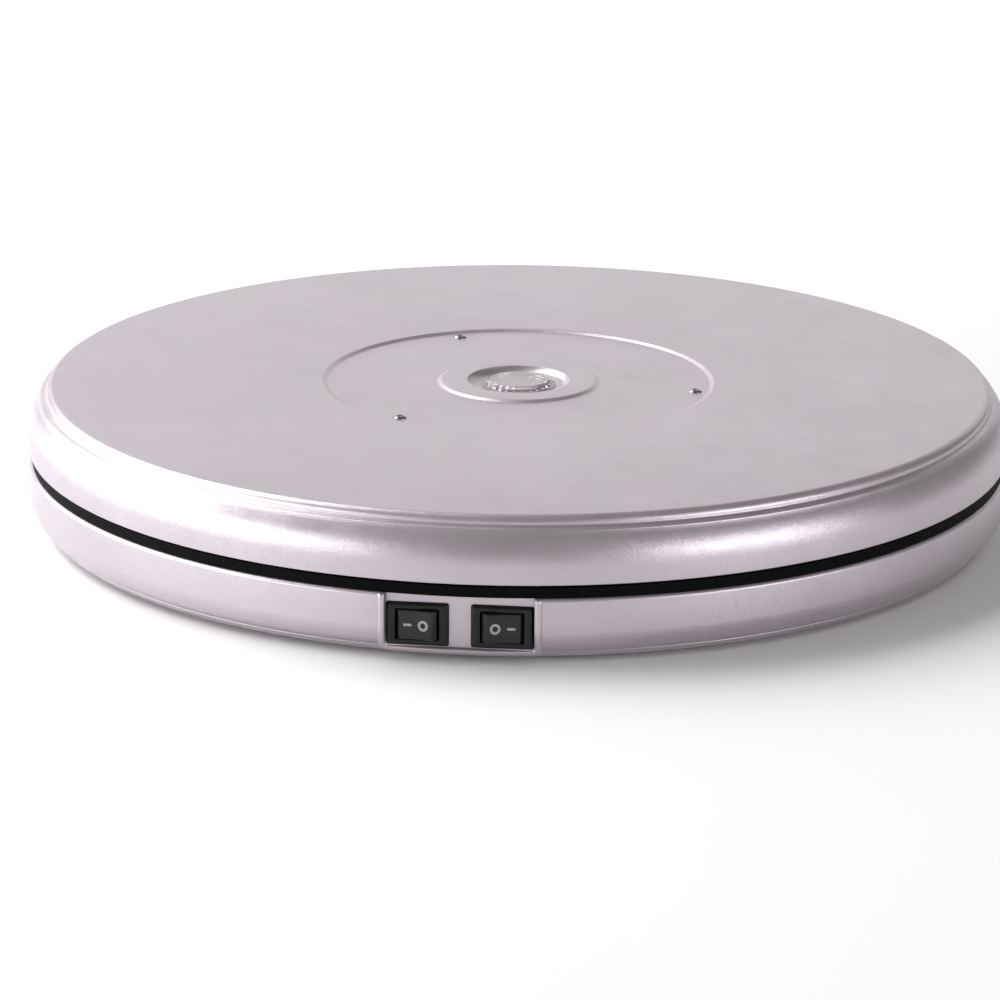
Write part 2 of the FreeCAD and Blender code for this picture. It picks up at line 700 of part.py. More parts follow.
def make_deck_holes(deck_under):
    cover_pilots = stepped_set(
        "cover_pilots",
        "post_circle",
        [("pilot_radius", "cover_top", "cover_top + cover_pilot_depth")],
        "roller_count",
    )
    spindle_pilots = stepped_set(
        "spindle_pilots",
        "spindle_screw_circle",
        [("screw_radius", "spindle_pilot_low", "base_top")],
        "3",
    )
    bracket_pilots = stepped_set(
        "bracket_pilots",
        BRACKET_SCREW_CIRCLE,
        [("screw_radius", deck_under, "base_top")],
        "roller_count",
    )
    place(bracket_pilots, turn="roller_first")
    shaft_hole = rod("shaft_hole", "shaft_hole_radius", deck_under, "base_top", "0", "motor_offset")
    motor_pilots = [
        rod(f"motor_pilot_{index}", "screw_radius", deck_under, "motor_boss_top - blind_wall", x, y)
        for index, (x, y) in enumerate(MOTOR_HOLES)
    ]
    driver_pilots = [
        rod(f"driver_pilot_{index}", "pilot_radius", "driver_top", "driver_top + driver_pilot_depth", x, y)
        for index, (x, y) in enumerate(DRIVER_HOLES)
    ]
    return [cover_pilots, spindle_pilots, bracket_pilots, shaft_hole] + motor_pilots + driver_pilots


def make_bottom_cover():
    disc = turned(
        "cover_disc",
        [
            ("0", "foot_height"),
            ("cover_low_radius", "foot_height"),
            ("cover_top_radius", "cover_top"),
            ("cover_rim_radius", "cover_top"),
            ("cover_rim_radius", "cover_top + cover_rim_height"),
            ("cover_rim_inner", "cover_top + cover_rim_height"),
            ("cover_rim_inner", "cover_top"),
            ("0", "cover_top"),
        ],
    )
    notch = box(
        "cover_notch",
        ("-panel_half_width - cover_gap", "panel_half_width + cover_gap"),
        ("-platter_radius", "-panel_back + cover_gap"),
        ("0", "base_top"),
    )
    inlet_reach = "(inlet_half_width + inlet_wall_margin + cover_gap)"
    inlet_notch = box(
        "cover_inlet_notch",
        (f"-{inlet_reach}", inlet_reach),
        ("cover_rim_inner - overlap", "cover_rim_radius + overlap"),
        ("cover_top", "base_top"),
    )
    screw_seats = stepped_set(
        "cover_screw_seats",
        "post_circle",
        [
            ("head_radius + cover_gap", "0", "foot_height + head_seat"),
            ("screw_radius + hole_gap", "foot_height + head_seat", "base_top"),
        ],
        "roller_count",
    )
    foot_seats = stepped_set(
        "foot_seats",
        "foot_circle",
        [("foot_radius", "0", "foot_height + foot_recess")],
        "roller_count",
    )
    place(foot_seats, turn="roller_first")
    return node(cut("bottom_cover", disc, [notch, inlet_notch, screw_seats, foot_seats]))


def make_feet():
    feet = turned(
        "rubber_feet",
        [
            ("foot_circle", "0"),
            ("foot_circle + foot_radius - foot_round", "0", "foot_round"),
            ("foot_circle + foot_radius", "foot_round"),
            ("foot_circle + foot_radius", "foot_height + foot_recess"),
            ("foot_circle", "foot_height + foot_recess"),
        ],
        count="roller_count",
        axis="foot_circle",
    )
    place(feet, turn="roller_first")
    return node(feet)


def make_cover_screws():
    steps = [
        ("head_radius", "foot_height + head_inset", "foot_height + head_seat"),
        ("pilot_radius", "foot_height + head_seat", "cover_top + cover_screw_reach"),
    ]
    return node(stepped_set("cover_screws", "post_circle", steps, "roller_count"))


def make_dust_ring():
    return node(
        turned(
            "dust_ring",
            [
                ("ring_seat_radius", "base_top"),
                ("ring_radius", "base_top"),
                ("ring_radius", "ring_step"),
                ("ring_lip_radius", "ring_step"),
                ("ring_lip_radius", "ring_lip_top"),
                ("ring_lip_radius - ring_lip_thickness", "ring_lip_top"),
                ("ring_lip_radius - ring_lip_thickness", "base_top + ring_foot"),
                ("ring_seat_radius", "base_top + ring_foot"),
            ],
        )
    )


# ---------------------------------------------------------------- switches and inlet


def make_switch(side, sign):
    """Housing and rocker of one switch; sign is '-' on the left and '' on the right."""
    centre = f"{sign}switch_offset"
    face = "-panel_plane - bezel_thickness"
    middle = "switch_height"
    bezel = box(
        f"bezel_{side}",
        (f"{centre} - bezel_width / 2", f"{centre} + bezel_width / 2"),
        (face, "-panel_plane"),
        (f"{middle} - bezel_height / 2", f"{middle} + bezel_height / 2"),
    )
    barrel = box(
        f"barrel_{side}",
        (f"{centre} - housing_width / 2", f"{centre} + housing_width / 2"),
        ("-panel_plane", "-panel_plane + housing_depth"),
        (f"{middle} - housing_height / 2", f"{middle} + housing_height / 2"),
    )
    cavity = box(
        f"cavity_{side}",
        (f"{centre} - rocker_opening / 2", f"{centre} + rocker_opening / 2"),
        (face, f"{face} + rocker_cavity"),
        (f"{middle} - rocker_slot / 2", f"{middle} + rocker_slot / 2"),
    )
    pivot_hole = rod(
        f"pivot_hole_{side}",
        "pivot_radius + pivot_gap",
        f"{middle} - pivot_reach - seat_gap",
        f"{middle} + pivot_reach + seat_gap",
        centre,
        f"{face} + pivot_depth",
    )
    blank = fuse(f"housing_blank_{side}", [bezel, barrel])
    node(cut(f"switch_housing_{side}", blank, [cavity, pivot_hole]))
    make_rocker(side, centre, f"{face} + pivot_depth", "rocker_tilt" if sign == "" else "-rocker_tilt")


def make_rocker(side, x, y, tilt):
    """Rocker drawn about its pivot with its face towards -Y, tilted so that its outer end is pressed in."""
    profile = [
        ("-rocker_width / 2", "rocker_side_drop - pivot_depth"),
        ("-rocker_face_width / 2", "-pivot_depth - rocker_end_rise"),
        ("0", "-pivot_depth - rocker_mid_rise"),
        ("rocker_face_width / 2", "-pivot_depth - rocker_end_rise"),
        ("rocker_width / 2", "rocker_side_drop - pivot_depth"),
        ("rocker_foot_width / 2", "rocker_depth - pivot_depth"),
        ("-rocker_foot_width / 2", "rocker_depth - pivot_depth"),
    ]
    slab = padded(f"rocker_slab_{side}", "XY_Plane", profile, "rocker_height", centred=True)
    pin = rod(f"rocker_pin_{side}", "pivot_radius", "-pivot_reach", "pivot_reach")
    rocker = fuse(f"rocker_{side}", [slab, pin])
    place(rocker, x, y, "switch_height", tilt)
    return node(rocker)


def make_switch_terminals():
    blades = []
    for side in ("-", ""):
        for hand in ("-", "+"):
            centre = f"{side}switch_offset {hand} blade_offset"
            blades.append(
                box(
                    f"blade_{len(blades)}",
                    (f"{centre} - blade_width / 2", f"{centre} + blade_width / 2"),
                    ("-panel_plane + housing_depth", "-panel_plane + housing_depth + blade_length"),
                    ("switch_height - blade_height / 2", "switch_height + blade_height / 2"),
                )
            )
    return node(group("switch_terminals", blades))


def make_inlet():
    """Figure-8 mains inlet; its mouth opens towards +Y."""
    face = "inlet_plane + inlet_flange"
    back = "inlet_plane - inlet_body_depth"
    flange = box(
        "inlet_flange_plate",
        ("-inlet_half_width", "inlet_half_width"),
        ("inlet_plane", face),
        ("switch_height - inlet_half_height", "switch_height + inlet_half_height"),
    )
    barrel = box(
        "inlet_barrel",
        ("-inlet_body_width / 2", "inlet_body_width / 2"),
        (back, "inlet_plane"),
        ("switch_height - inlet_body_height / 2", "switch_height + inlet_body_height / 2"),
    )
    mouth = padded(
        "inlet_mouth",
        "XZ_Plane",
        [
            ("-socket_offset", "switch_height + socket_radius", "socket_radius"),
            ("-socket_offset - socket_radius", "switch_height", "socket_radius"),
            ("-socket_offset", "switch_height - socket_radius"),
            ("socket_offset", "switch_height - socket_radius", "socket_radius"),
            ("socket_offset + socket_radius", "switch_height", "socket_radius"),
            ("socket_offset", "switch_height + socket_radius"),
        ],
        "socket_depth + overlap",
        offset=f"-({face}) - overlap",
    )
    pins = []
    holes = []
    for side, sign in (("left", "-"), ("right", "")):
        span = (f"{back} - pin_tail", f"{face} - pin_recess")
        spot = (f"{sign}pin_offset", "switch_height")
        pins.append(rod_along_y(f"inlet_pin_{side}", "pin_radius", *span, *spot))
        holes.append(rod_along_y(f"pin_hole_{side}", "pin_radius", *span, *spot))
    node(cut("inlet_housing", fuse("inlet_blank", [flange, barrel]), [mouth] + holes))
    node(group("inlet_pins", pins))


# ---------------------------------------------------------------- platter and lens


def make_platter():
    plateau = "total_height"
    floor = "total_height - recess_depth"
    blank = turned(
        "platter_blank",
        [
            ("lens_hole_radius", "plate_low"),
            ("lens_hole_radius", "total_height - well_depth"),
            ("well_floor_radius", "total_height - well_depth", "well_round"),
            ("well_radius", plateau),
            ("recess_inner", plateau),
            ("recess_inner + recess_slope", floor),
            ("recess_outer - recess_slope", floor),
            ("recess_outer", plateau),
            ("plateau_radius", plateau, "-edge_round"),
            ("edge_radius", "edge_low", "groove_round"),
            ("groove_radius", "groove_height"),
            ("ledge_radius", "ledge_height", "-shoulder_round"),
            ("shoulder_radius", "shoulder_height", "-side_arc"),
            ("platter_radius", "skirt_straight"),
            ("platter_radius", "skirt_low + skirt_round", "-skirt_round"),
            ("platter_radius - skirt_round", "skirt_low"),
            ("platter_radius - skirt_wall", "skirt_low"),
            ("platter_radius - skirt_wall", "inner_straight"),
            ("inner_knee_radius", "inner_knee_height"),
            ("plate_edge_radius", "plate_low"),
            ("track_outer", "plate_low"),
            ("track_outer", "track_low"),
            ("track_inner", "track_low"),
            ("track_inner", "plate_low"),
        ],
    )
    ribs = padded(
        "platter_ribs",
        "XZ_Plane",
        [
            ("rib_start", "rib_low"),
            ("track_inner + overlap", "rib_low"),
            ("track_inner + overlap", "plate_low + overlap"),
            ("rib_start", "plate_low + overlap"),
        ],
        "rib_width",
        centred=True,
        count="rib_count",
    )
    screw_holes = stepped_set(
        "platter_screw_holes",
        "screw_circle",
        [("screw_radius + hole_gap", "plate_low - overlap", "total_height")],
        "3",
    )
    place(screw_holes, turn="platter_screws_turn")
    return node(cut("platter", fuse("platter_body", [blank, ribs]), [screw_holes]))


def make_lens():
    seat = "total_height - well_depth"
    top = "total_height + lens_rise"
    node(
        turned(
            "lens",
            [
                ("0", "lens_low"),
                ("lens_hole_radius", "lens_low"),
                ("lens_hole_radius", seat),
                ("lens_flange_radius", seat),
                ("lens_flange_radius", f"{seat} + lens_flange"),
                ("lens_top_radius", top),
                ("0", top),
            ],
        )
    )
    node(
        turned(
            "lens_ring",
            [
                ("lens_hole_radius", "lens_ring_low"),
                ("lens_ring_radius", "lens_ring_low"),
                ("lens_ring_radius", "plate_low"),
                ("lens_hole_radius", "plate_low"),
            ],
        )
    )


def make_platter_screws():
    steps = [
        ("screw_radius", "platter_screw_low", "total_height - recess_depth"),
        ("screw_head_radius", "total_height - recess_depth", "total_height - recess_depth + screw_head"),
    ]
    screws = stepped_set("platter_screws", "screw_circle", steps, "3")
    place(screws, turn="platter_screws_turn")
    return node(screws)


# ---------------------------------------------------------------- gear pair


def gear_blank(name, teeth, low, high):
    """Involute spur gear between two heights."""
    outline = fcgear.FCWireBuilder()
    involute.CreateExternalGear(
        outline,
        value("gear_module"),
        int(value(teeth)),
        value("pressure_angle"),
        shiftCoeff=value("profile_shift"),
    )
    face = DOC.addObject("Part::Feature", f"{name}_outline")
    face.Shape = Part.Face(Part.Wire([edge.toShape() for edge in outline.wire]))
    place(face, z=low)
    blank = DOC.addObject("Part::Extrusion", name)
    blank.Base = face
    blank.DirMode = "Custom"
    blank.Dir = FreeCAD.Vector(0, 0, 1)
    blank.Solid = True
    bind(blank, LengthFwd=f"({high}) - ({low})")
    return blank


def make_drive_gear():
    teeth = gear_blank("gear_teeth_blank", "gear_teeth", "gear_low", "gear_top")
    under_cut = turned(
        "gear_under_cut",
        [
            ("hub_radius", "gear_low - overlap"),
            ("rim_inner", "gear_low - overlap"),
            ("rim_inner", "web_low"),
            ("hub_radius", "web_low"),
        ],
    )
    web = cut("gear_web", teeth, [under_cut])
    hub = rod("gear_hub", "hub_radius", "hub_low", "hub_top")
    bosses = stepped_set(
        "gear_bosses", "screw_circle", [("boss_radius", "gear_top - overlap", "plate_low")], "3"
    )
    place(bosses, turn="platter_screws_turn")
    bore = rod("gear_bore", "spindle_radius + fit_gap", "hub_low - overlap", "hub_top + overlap")
    pilots = stepped_set(
        "gear_pilots",
        "screw_circle",
        [("screw_radius", "platter_pilot_low", "plate_low + overlap")],
        "3",
    )
    place(pilots, turn="platter_screws_turn")
    return node(cut("drive_gear", fuse("gear_body", [web, hub, bosses]), [bore, pilots]))


def d_shaft(name, low, high, clearance="0"):
    """Round shaft with one flat on its -Y side, on the motor's axis, made about the origin."""
    round_bar = rod(f"{name}_bar", f"shaft_radius + {clearance}", low, high)
    flat = box(
        f"{name}_flat",
        ("-shaft_radius - overlap", "shaft_radius + overlap"),
        ("-shaft_radius - overlap", f"-shaft_flat - {clearance}"),
        ("flat_low", f"({high}) + overlap"),
    )
    return cut(name, round_bar, [flat])


def make_pinion():
    """Pinion and shaft; at rest a pinion tooth lies in the gap that the drive gear has at +Y."""
    teeth = gear_blank("pinion_teeth_blank", "pinion_teeth", "pinion_low", "pinion_top")
    collar = rod("pinion_collar", "pinion_hub_radius", "pinion_hub_low", "pinion_low")
    bore = d_shaft("pinion_bore", "pinion_hub_low - overlap", "pinion_top + overlap")
    pinion = cut("motor_pinion", fuse("pinion_body", [teeth, collar]), [bore])
    place(pinion, y="motor_offset", turn="90")
    node(pinion)
    shaft = d_shaft("motor_shaft", "shaft_low", "shaft_top")
    place(shaft, y="motor_offset", turn="90")
    node(shaft)


# ---------------------------------------------------------------- spindle and ball bearing


def make_spindle():
    journal = turned(
        "spindle_turned",
        [
            ("deck_hole_radius", "base_top"),
            ("spindle_flange_radius", "base_top"),
            ("spindle_flange_radius", "base_top + spindle_flange"),
            ("spindle_radius", "base_top + spindle_flange"),
            ("spindle_radius", "clip_low"),
            ("clip_groove_radius", "clip_low"),
            ("clip_groove_radius", "clip_low + clip_thickness"),
            ("spindle_radius", "clip_low + clip_thickness"),
            ("spindle_radius", "spindle_top"),
            ("spindle_bore", "spindle_top"),
            ("spindle_bore", "spindle_floor"),
            ("deck_hole_radius", "spindle_floor"),
        ],
    )
    holes = stepped_set(
        "spindle_flange_holes",
        "spindle_screw_circle",
        [("screw_radius", "base_top - overlap", "spindle_floor")],
        "3",
    )
    lamp_holes = stepped_set(
        "lamp_screw_holes",
        "lamp_screw_circle",
        [("pilot_radius", "base_top - overlap", "spindle_floor + overlap")],
        "2",
    )
    node(cut("centre_spindle", journal, [holes, lamp_holes]))
    steps = [
        ("screw_radius", "spindle_screw_low", "base_top + spindle_flange"),
        ("head_radius", "base_top + spindle_flange", "base_top + spindle_flange + head_height"),
    ]
    node(stepped_set("spindle_screws", "spindle_screw_circle", steps, "3"))
    make_hub_clip()


def make_hub_clip():
    ring = turned(
        "hub_clip_ring",
        [
            ("clip_groove_radius", "clip_low"),
            ("clip_radius", "clip_low"),
            ("clip_radius", "clip_low + clip_thickness"),
            ("clip_groove_radius", "clip_low + clip_thickness"),
        ],
    )
    mouth = box(
        "hub_clip_mouth",
        ("-clip_gap / 2", "clip_gap / 2"),
        ("0", "clip_radius + overlap"),
        ("clip_low - overlap", "clip_low + clip_thickness + overlap"),
    )
    return node(cut("hub_clip", ring, [mouth]))


def make_race(label, low):
    washer = turned(
        f"{label}_washer",
        [
            ("race_inner", low),
            ("race_outer", low),
            ("race_outer", f"{low} + race_thickness"),
            ("race_inner", f"{low} + race_thickness"),
        ],
    )
    groove = DOC.addObject("Part::Torus", f"{label}_groove")
    bind(groove, Radius1="ball_circle", Radius2="ball_radius + race_gap")
    place(groove, z="ball_height")
    return node(cut(label, washer, [groove]))


def make_bearing():
    make_race("lower_race", "base_top")
    make_race("upper_race", "(web_low - race_thickness)")
    half = "cage_thickness / 2"
    cage = turned(
        "cage_ring",
        [
            ("cage_inner", f"ball_height - {half}"),
            ("cage_outer", f"ball_height - {half}"),
            ("cage_outer", f"ball_height + {half}"),
            ("cage_inner", f"ball_height + {half}"),
        ],
    )
    pockets = stepped_set(
        "cage_pockets",
        "ball_circle",
        [("ball_radius + race_gap", "ball_height - ball_radius", "ball_height + ball_radius")],
        "ball_count",
    )
    node(cut("ball_cage", cage, [pockets]))
    balls = turned(
        "bearing_balls",
        [
            ("ball_circle", "ball_height - ball_radius", "ball_radius"),
            ("ball_circle + ball_radius", "ball_height", "ball_radius"),
            ("ball_circle", "ball_height + ball_radius"),
        ],
        count="ball_count",
        axis="ball_circle",
    )
    node(balls)


# ---------------------------------------------------------------- motor


def make_motor():
    can = turned(
        "motor_can",
        [
            ("0", "motor_low"),
            ("motor_radius", "motor_low"),
            ("motor_radius", "motor_top"),
            ("motor_radius - can_wall", "motor_top"),
            ("motor_radius - can_wall", "motor_low + can_wall"),
            ("0", "motor_low + can_wall"),
        ],
    )
    place(can, y="motor_offset")
    node(can)
    coil = turned(
        "motor_coil",
        [
            ("coil_inner", "motor_low + can_wall"),
            ("coil_outer", "motor_low + can_wall"),
            ("coil_outer", "coil_top"),
            ("coil_inner", "coil_top"),
        ],
    )
    place(coil, y="motor_offset")
    node(coil)
    make_motor_lid()
    block = box(
        "motor_terminals",
        ("-terminal_width / 2", "terminal_width / 2"),
        ("motor_offset + motor_radius", "motor_offset + motor_radius + terminal_depth"),
        ("motor_low + terminal_rise", "motor_low + terminal_rise + terminal_height"),
    )
    block.Label = "motor_terminals"
    node(block)
    screws = []
    screw_end = "motor_boss_top - blind_wall - screw_end_gap"
    for index, (x, y) in enumerate(MOTOR_HOLES):
        head = rod(f"motor_head_{index}", "head_radius", "motor_top - head_height", "motor_top", x, y)
        shank = rod(f"motor_shank_{index}", "screw_radius", "motor_top", screw_end, x, y)
        screws.append(fuse(f"motor_screw_{index}", [head, shank]))
    node(group("motor_screws", screws))


def make_motor_lid():
    """Round plate with two ears that hang the motor under the deck."""
    deck_under = "base_top - deck_thickness"
    plate = rod("motor_lid_plate", "motor_radius", "motor_top", deck_under, "0", "motor_offset")
    bar = box(
        "motor_lid_bar",
        ("-ear_spacing / 2", "ear_spacing / 2"),
        ("motor_offset - ear_radius", "motor_offset + ear_radius"),
        ("motor_top", deck_under),
    )
    low = "motor_top - overlap"
    ears = []
    holes = [rod("motor_lid_hole", "shaft_radius + fit_gap", low, "base_top", "0", "motor_offset")]
    for index, (x, y) in enumerate(MOTOR_HOLES):
        ears.append(rod(f"motor_ear_{index}", "ear_radius", "motor_top", deck_under, x, y))
        holes.append(rod(f"motor_ear_hole_{index}", "screw_radius", low, "base_top", x, y))
    return node(cut("motor_lid", fuse("motor_lid_body", [plate, bar] + ears), holes))


# ---------------------------------------------------------------- rim rollers


def make_rollers():
    axle_level = "(track_low - roller_gap - roller_radius)"
    inner_face = "roller_circle - roller_width / 2"
    outer_face = "roller_circle + roller_width / 2"
    bore = f"{axle_level} + axle_radius + fit_gap"
    tread = f"{axle_level} + roller_radius"
    for index in range(int(value("roller_count"))):
        roller = turned(
            f"rim_roller_{index + 1}",
            [
                (inner_face, bore),
                (outer_face, bore),
                (outer_face, f"{tread} - roller_chamfer"),
                (f"{outer_face} - roller_chamfer", tread),
                (f"{inner_face} + roller_chamfer", tread),
                (inner_face, f"{tread} - roller_chamfer"),
            ],
            level=axle_level,
        )
        place(roller, turn=f"roller_first + {index} * 360 / roller_count")
        node(roller)
    axles = turned(
        "roller_axles",
        [
            ("roller_circle - axle_reach", axle_level),
            ("roller_circle - axle_reach", f"{axle_level} + axle_radius"),
            ("roller_circle + axle_reach", f"{axle_level} + axle_radius"),
            ("roller_circle + axle_reach", axle_level),
        ],
        count="roller_count",
        level=axle_level,
    )
    place(axles, turn="roller_first")
    node(axles)
    make_brackets(axle_level)


def make_brackets(axle_level):
    """U-shaped brackets, each with an upright on both sides of its roller."""
    blank = padded(
        "bracket_blank",
        "XZ_Plane",
        [
            ("roller_circle - bracket_reach", "base_top"),
            ("roller_circle + bracket_reach", "base_top"),
            ("roller_circle + bracket_reach", "bracket_top"),
            ("roller_circle + bracket_reach - bracket_wall", "bracket_top"),
            ("roller_circle + bracket_reach - bracket_wall", "base_top + bracket_base"),
            ("roller_circle - bracket_reach + bracket_wall", "base_top + bracket_base"),
            ("roller_circle - bracket_reach + bracket_wall", "bracket_top"),
            ("roller_circle - bracket_reach", "bracket_top"),
        ],
        "bracket_width",
        centred=True,
        count="roller_count",
    )
    axle_holes = turned(
        "bracket_axle_holes",
        [
            ("roller_circle - axle_reach", axle_level),
            ("roller_circle - axle_reach", f"{axle_level} + axle_radius"),
            ("roller_circle + axle_reach", f"{axle_level} + axle_radius"),
            ("roller_circle + axle_reach", axle_level),
        ],
        count="roller_count",
        level=axle_level,
    )
    pilots = stepped_set(
        "bracket_screw_holes",
        BRACKET_SCREW_CIRCLE,
        [("screw_radius", "base_top - overlap", "base_top + bracket_pilot_depth")],
        "roller_count",
    )
    brackets = cut("roller_brackets", blank, [axle_holes, pilots])
    place(brackets, turn="roller_first")
    node(brackets)
    deck_under = "base_top - deck_thickness"
    steps = [
        ("head_radius", f"{deck_under} - head_height", deck_under),
        ("screw_radius", deck_under, "base_top + bracket_screw_reach"),
    ]
    screws = stepped_set("bracket_screws", BRACKET_SCREW_CIRCLE, steps, "roller_count")
    place(screws, turn="roller_first")
    node(screws)


# ---------------------------------------------------------------- lamp and its supply


def make_lamp():
    board_top = "spindle_floor + board_thickness"
    plate = turned(
        "lamp_board_disc",
        [
            ("0", "spindle_floor"),
            ("board_radius", "spindle_floor"),
            ("board_radius", board_top),
            ("0", board_top),
        ],
    )
    holes = stepped_set(
        "lamp_board_holes",
        "lamp_screw_circle",
        [("pilot_radius", "spindle_floor - overlap", f"{board_top} + overlap")],
        "2",
    )
    node(cut("led_board", plate, [holes]))
    steps = [
        ("pilot_radius", "base_top + screw_end_gap", board_top),
        ("screw_head_radius", board_top, f"{board_top} + head_height"),
    ]
    node(stepped_set("led_screws", "lamp_screw_circle", steps, "2"))
    dome_low = f"{board_top} + lamp_base"
    node(
        turned(
            "led_emitter",
            [
                ("0", board_top),
                ("lamp_radius", board_top),
                ("lamp_radius", dome_low),
                ("lamp_dome", dome_low, "lamp_dome"),
                ("0", f"{dome_low} + lamp_dome"),
            ],
        )
    )
    node(
        turned(
            "reflector",
            [
                ("reflector_low_radius", board_top),
                ("reflector_low_radius + reflector_wall", board_top),
                ("reflector_low_radius + reflector_wall", "reflector_low + reflector_neck"),
                ("reflector_top_radius", "reflector_top"),
                ("reflector_top_radius - reflector_wall", "reflector_top"),
                ("reflector_low_radius", "reflector_low + reflector_neck"),
            ],
        )
    )


def make_driver():
    """Small board under the deck that feeds the lamp; its parts hang below it."""
    under = "driver_top - board_thickness"
    plate = box(
        "driver_plate",
        ("driver_x - driver_length / 2", "driver_x + driver_length / 2"),
        ("driver_y - driver_width / 2", "driver_y + driver_width / 2"),
        (under, "driver_top"),
    )
    holes = [
        rod(f"driver_hole_{index}", "pilot_radius", f"{under} - overlap", "driver_top + overlap", x, y)
        for index, (x, y) in enumerate(DRIVER_HOLES)
    ]
    node(cut("driver_board", plate, holes))
    screws = []
    for index, (x, y) in enumerate(DRIVER_HOLES):
        head = rod(f"driver_head_{index}", "screw_head_radius", f"{under} - head_height", under, x, y)
        shank = rod(f"driver_shank_{index}", "pilot_radius", under, "driver_top + driver_screw_reach", x, y)
        screws.append(fuse(f"driver_screw_{index}", [head, shank]))
    node(group("driver_screws", screws))
    capacitor = box(
        "driver_capacitor",
        ("driver_x + capacitor_end - capacitor_length", "driver_x + capacitor_end"),
        ("driver_y - capacitor_width / 2", "driver_y + capacitor_width / 2"),
        (f"{under} - capacitor_height", under),
    )
    capacitor.Label = "driver_capacitor"
    node(capacitor)
    rectifier = box(
        "driver_rectifier",
        ("driver_x + rectifier_start", "driver_x + rectifier_start + rectifier_size"),
        ("driver_y - rectifier_size", "driver_y"),
        (f"{under} - rectifier_height", under),
    )
    rectifier.Label = "driver_rectifier"
    node(rectifier)


# ---------------------------------------------------------------- leads inside the base


def rounded_path(points):
    """Straight runs joined by tangent arcs as large as the shorter run allows."""
    spots = [FreeCAD.Vector(*point) for point in points]
    edges = []
    here = spots[0]
    for before, corner, after in zip(spots, spots[1:], spots[2:]):
        inward = (corner - before).normalize()
        outward = (after - corner).normalize()
        turn = inward.getAngle(outward)
        setback = 0.45 * min((corner - before).Length, (after - corner).Length)
        radius = setback / math.tan(turn / 2)
        start = corner - inward * setback
        end = corner + outward * setback
        bisector = (outward - inward).normalize()
        depth = radius / math.cos(turn / 2) - radius
        edges.append(Part.LineSegment(here, start).toShape())
        edges.append(Part.Arc(start, corner + bisector * depth, end).toShape())
        here = end
    edges.append(Part.LineSegment(here, spots[-1]).toShape())
    return Part.Wire(edges)


def make_lead(label, points):
    """Insulated lead along a route."""
    path = rounded_path(points)
    first = path.OrderedEdges[0]
    start = first.valueAt(first.FirstParameter)
    circle = Part.Circle(start, first.tangentAt(first.FirstParameter), value("lead_radius"))
    solid = path.makePipeShell([Part.Wire(circle.toShape())], True, False)
    expected = math.pi * value("lead_radius") ** 2 * path.Length
    if abs(solid.Volume / expected - 1) > 0.01:
        raise RuntimeError(f"{label}: volume {solid.Volume:.1f}, expected {expected:.1f}")
    item = DOC.addObject("Part::Feature", label)
    item.Label = label
    item.Shape = solid
    return node(item)


def make_leads():
    floor = value("cover_top + lead_radius + lead_rest")
    level = value("switch_height")
    leave = value("lead_exit")
    blade_end = value("-panel_plane + housing_depth + blade_length")
    blade = value("switch_offset + blade_offset")
    pin_end = value("inlet_plane - inlet_body_depth - pin_tail")
    pin = value("pin_offset")
    motor_y = value("motor_offset + motor_radius + terminal_depth")
    motor_x = value("ear_radius - foot_height")
    block_level = value("motor_low + terminal_rise + terminal_height / 2")
    from_inlet = [(-pin, pin_end, level), (-pin, pin_end - leave, level)]
    to_left_switch = [(-blade, blade_end + leave, level), (-blade, blade_end, level)]
    from_right_switch = [(blade, blade_end, level), (blade, blade_end + leave, level)]
    to_motor = [(motor_x, motor_y + leave, block_level), (motor_x, motor_y, block_level)]
    line_route = [(x, y, floor + rise) for x, y, rise in LINE_ROUTE]
    motor_route = [(x, y, floor + rise) for x, y, rise in MOTOR_ROUTE]
    make_lead("wire_line", from_inlet + line_route + to_left_switch)
    make_lead("wire_motor", from_right_switch + motor_route + to_motor)
    board_edge = value("driver_x - driver_length / 2")
    board_y = value("driver_y + capacitor_width")
    board_level = value("driver_top - board_thickness / 2")
    under_lamp = value("spindle_floor")
    lamp_level = value("lamp_lead_level")
    from_board = [(board_edge, board_y, board_level), (board_edge - leave, board_y, board_level)]
    lamp_route = [(x, y, lamp_level) for x, y in LAMP_ROUTE]
    to_lamp = [(0, 0, (lamp_level + under_lamp) / 2), (0, 0, under_lamp)]
    make_lead("wire_lamp", from_board + lamp_route + to_lamp)


# ---------------------------------------------------------------- build, check and write


def check_document():
    """Stop if any object failed or any sub-part is empty or broken."""
    for item in DOC.Objects:
        if "Invalid" in item.State or "Error" in item.State:
            raise RuntimeError(f"{item.Label} failed: {item.State}")
    for item in NODES:
        if item.Shape.isNull() or not item.Shape.isValid() or not item.Shape.Solids:
            raise RuntimeError(f"{item.Label} has no valid solid")


def write_parts():
    os.makedirs("parts", exist_ok=True)
    for item in NODES:
        item.Shape.exportStep(os.path.join("parts", f"{item.Label}.step"))
        size = item.Shape.BoundBox
        spans = f"{size.XLength:7.1f} {size.YLength:7.1f} {size.ZLength:6.1f}"
        print(f"{item.Label:22s} {len(item.Shape.Solids):3d} solids  {spans}")


make_base_shell()
make_bottom_cover()
make_feet()
make_cover_screws()
make_dust_ring()
make_switch("left", "-")
make_switch("right", "")
make_switch_terminals()
make_inlet()
make_platter()
make_lens()
make_platter_screws()
make_drive_gear()
make_pinion()
make_spindle()
make_bearing()
make_motor()
make_rollers()
make_lamp()
make_driver()
make_leads()
DOC.recompute()
check_document()
write_parts()
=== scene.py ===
"""Looks of the display turntable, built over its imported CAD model.

Shapes are worked out in millimetres. The camera and the studio are in metres.
"""

import json
import math

import bmesh
import bpy
from mathutils import Matrix, Vector


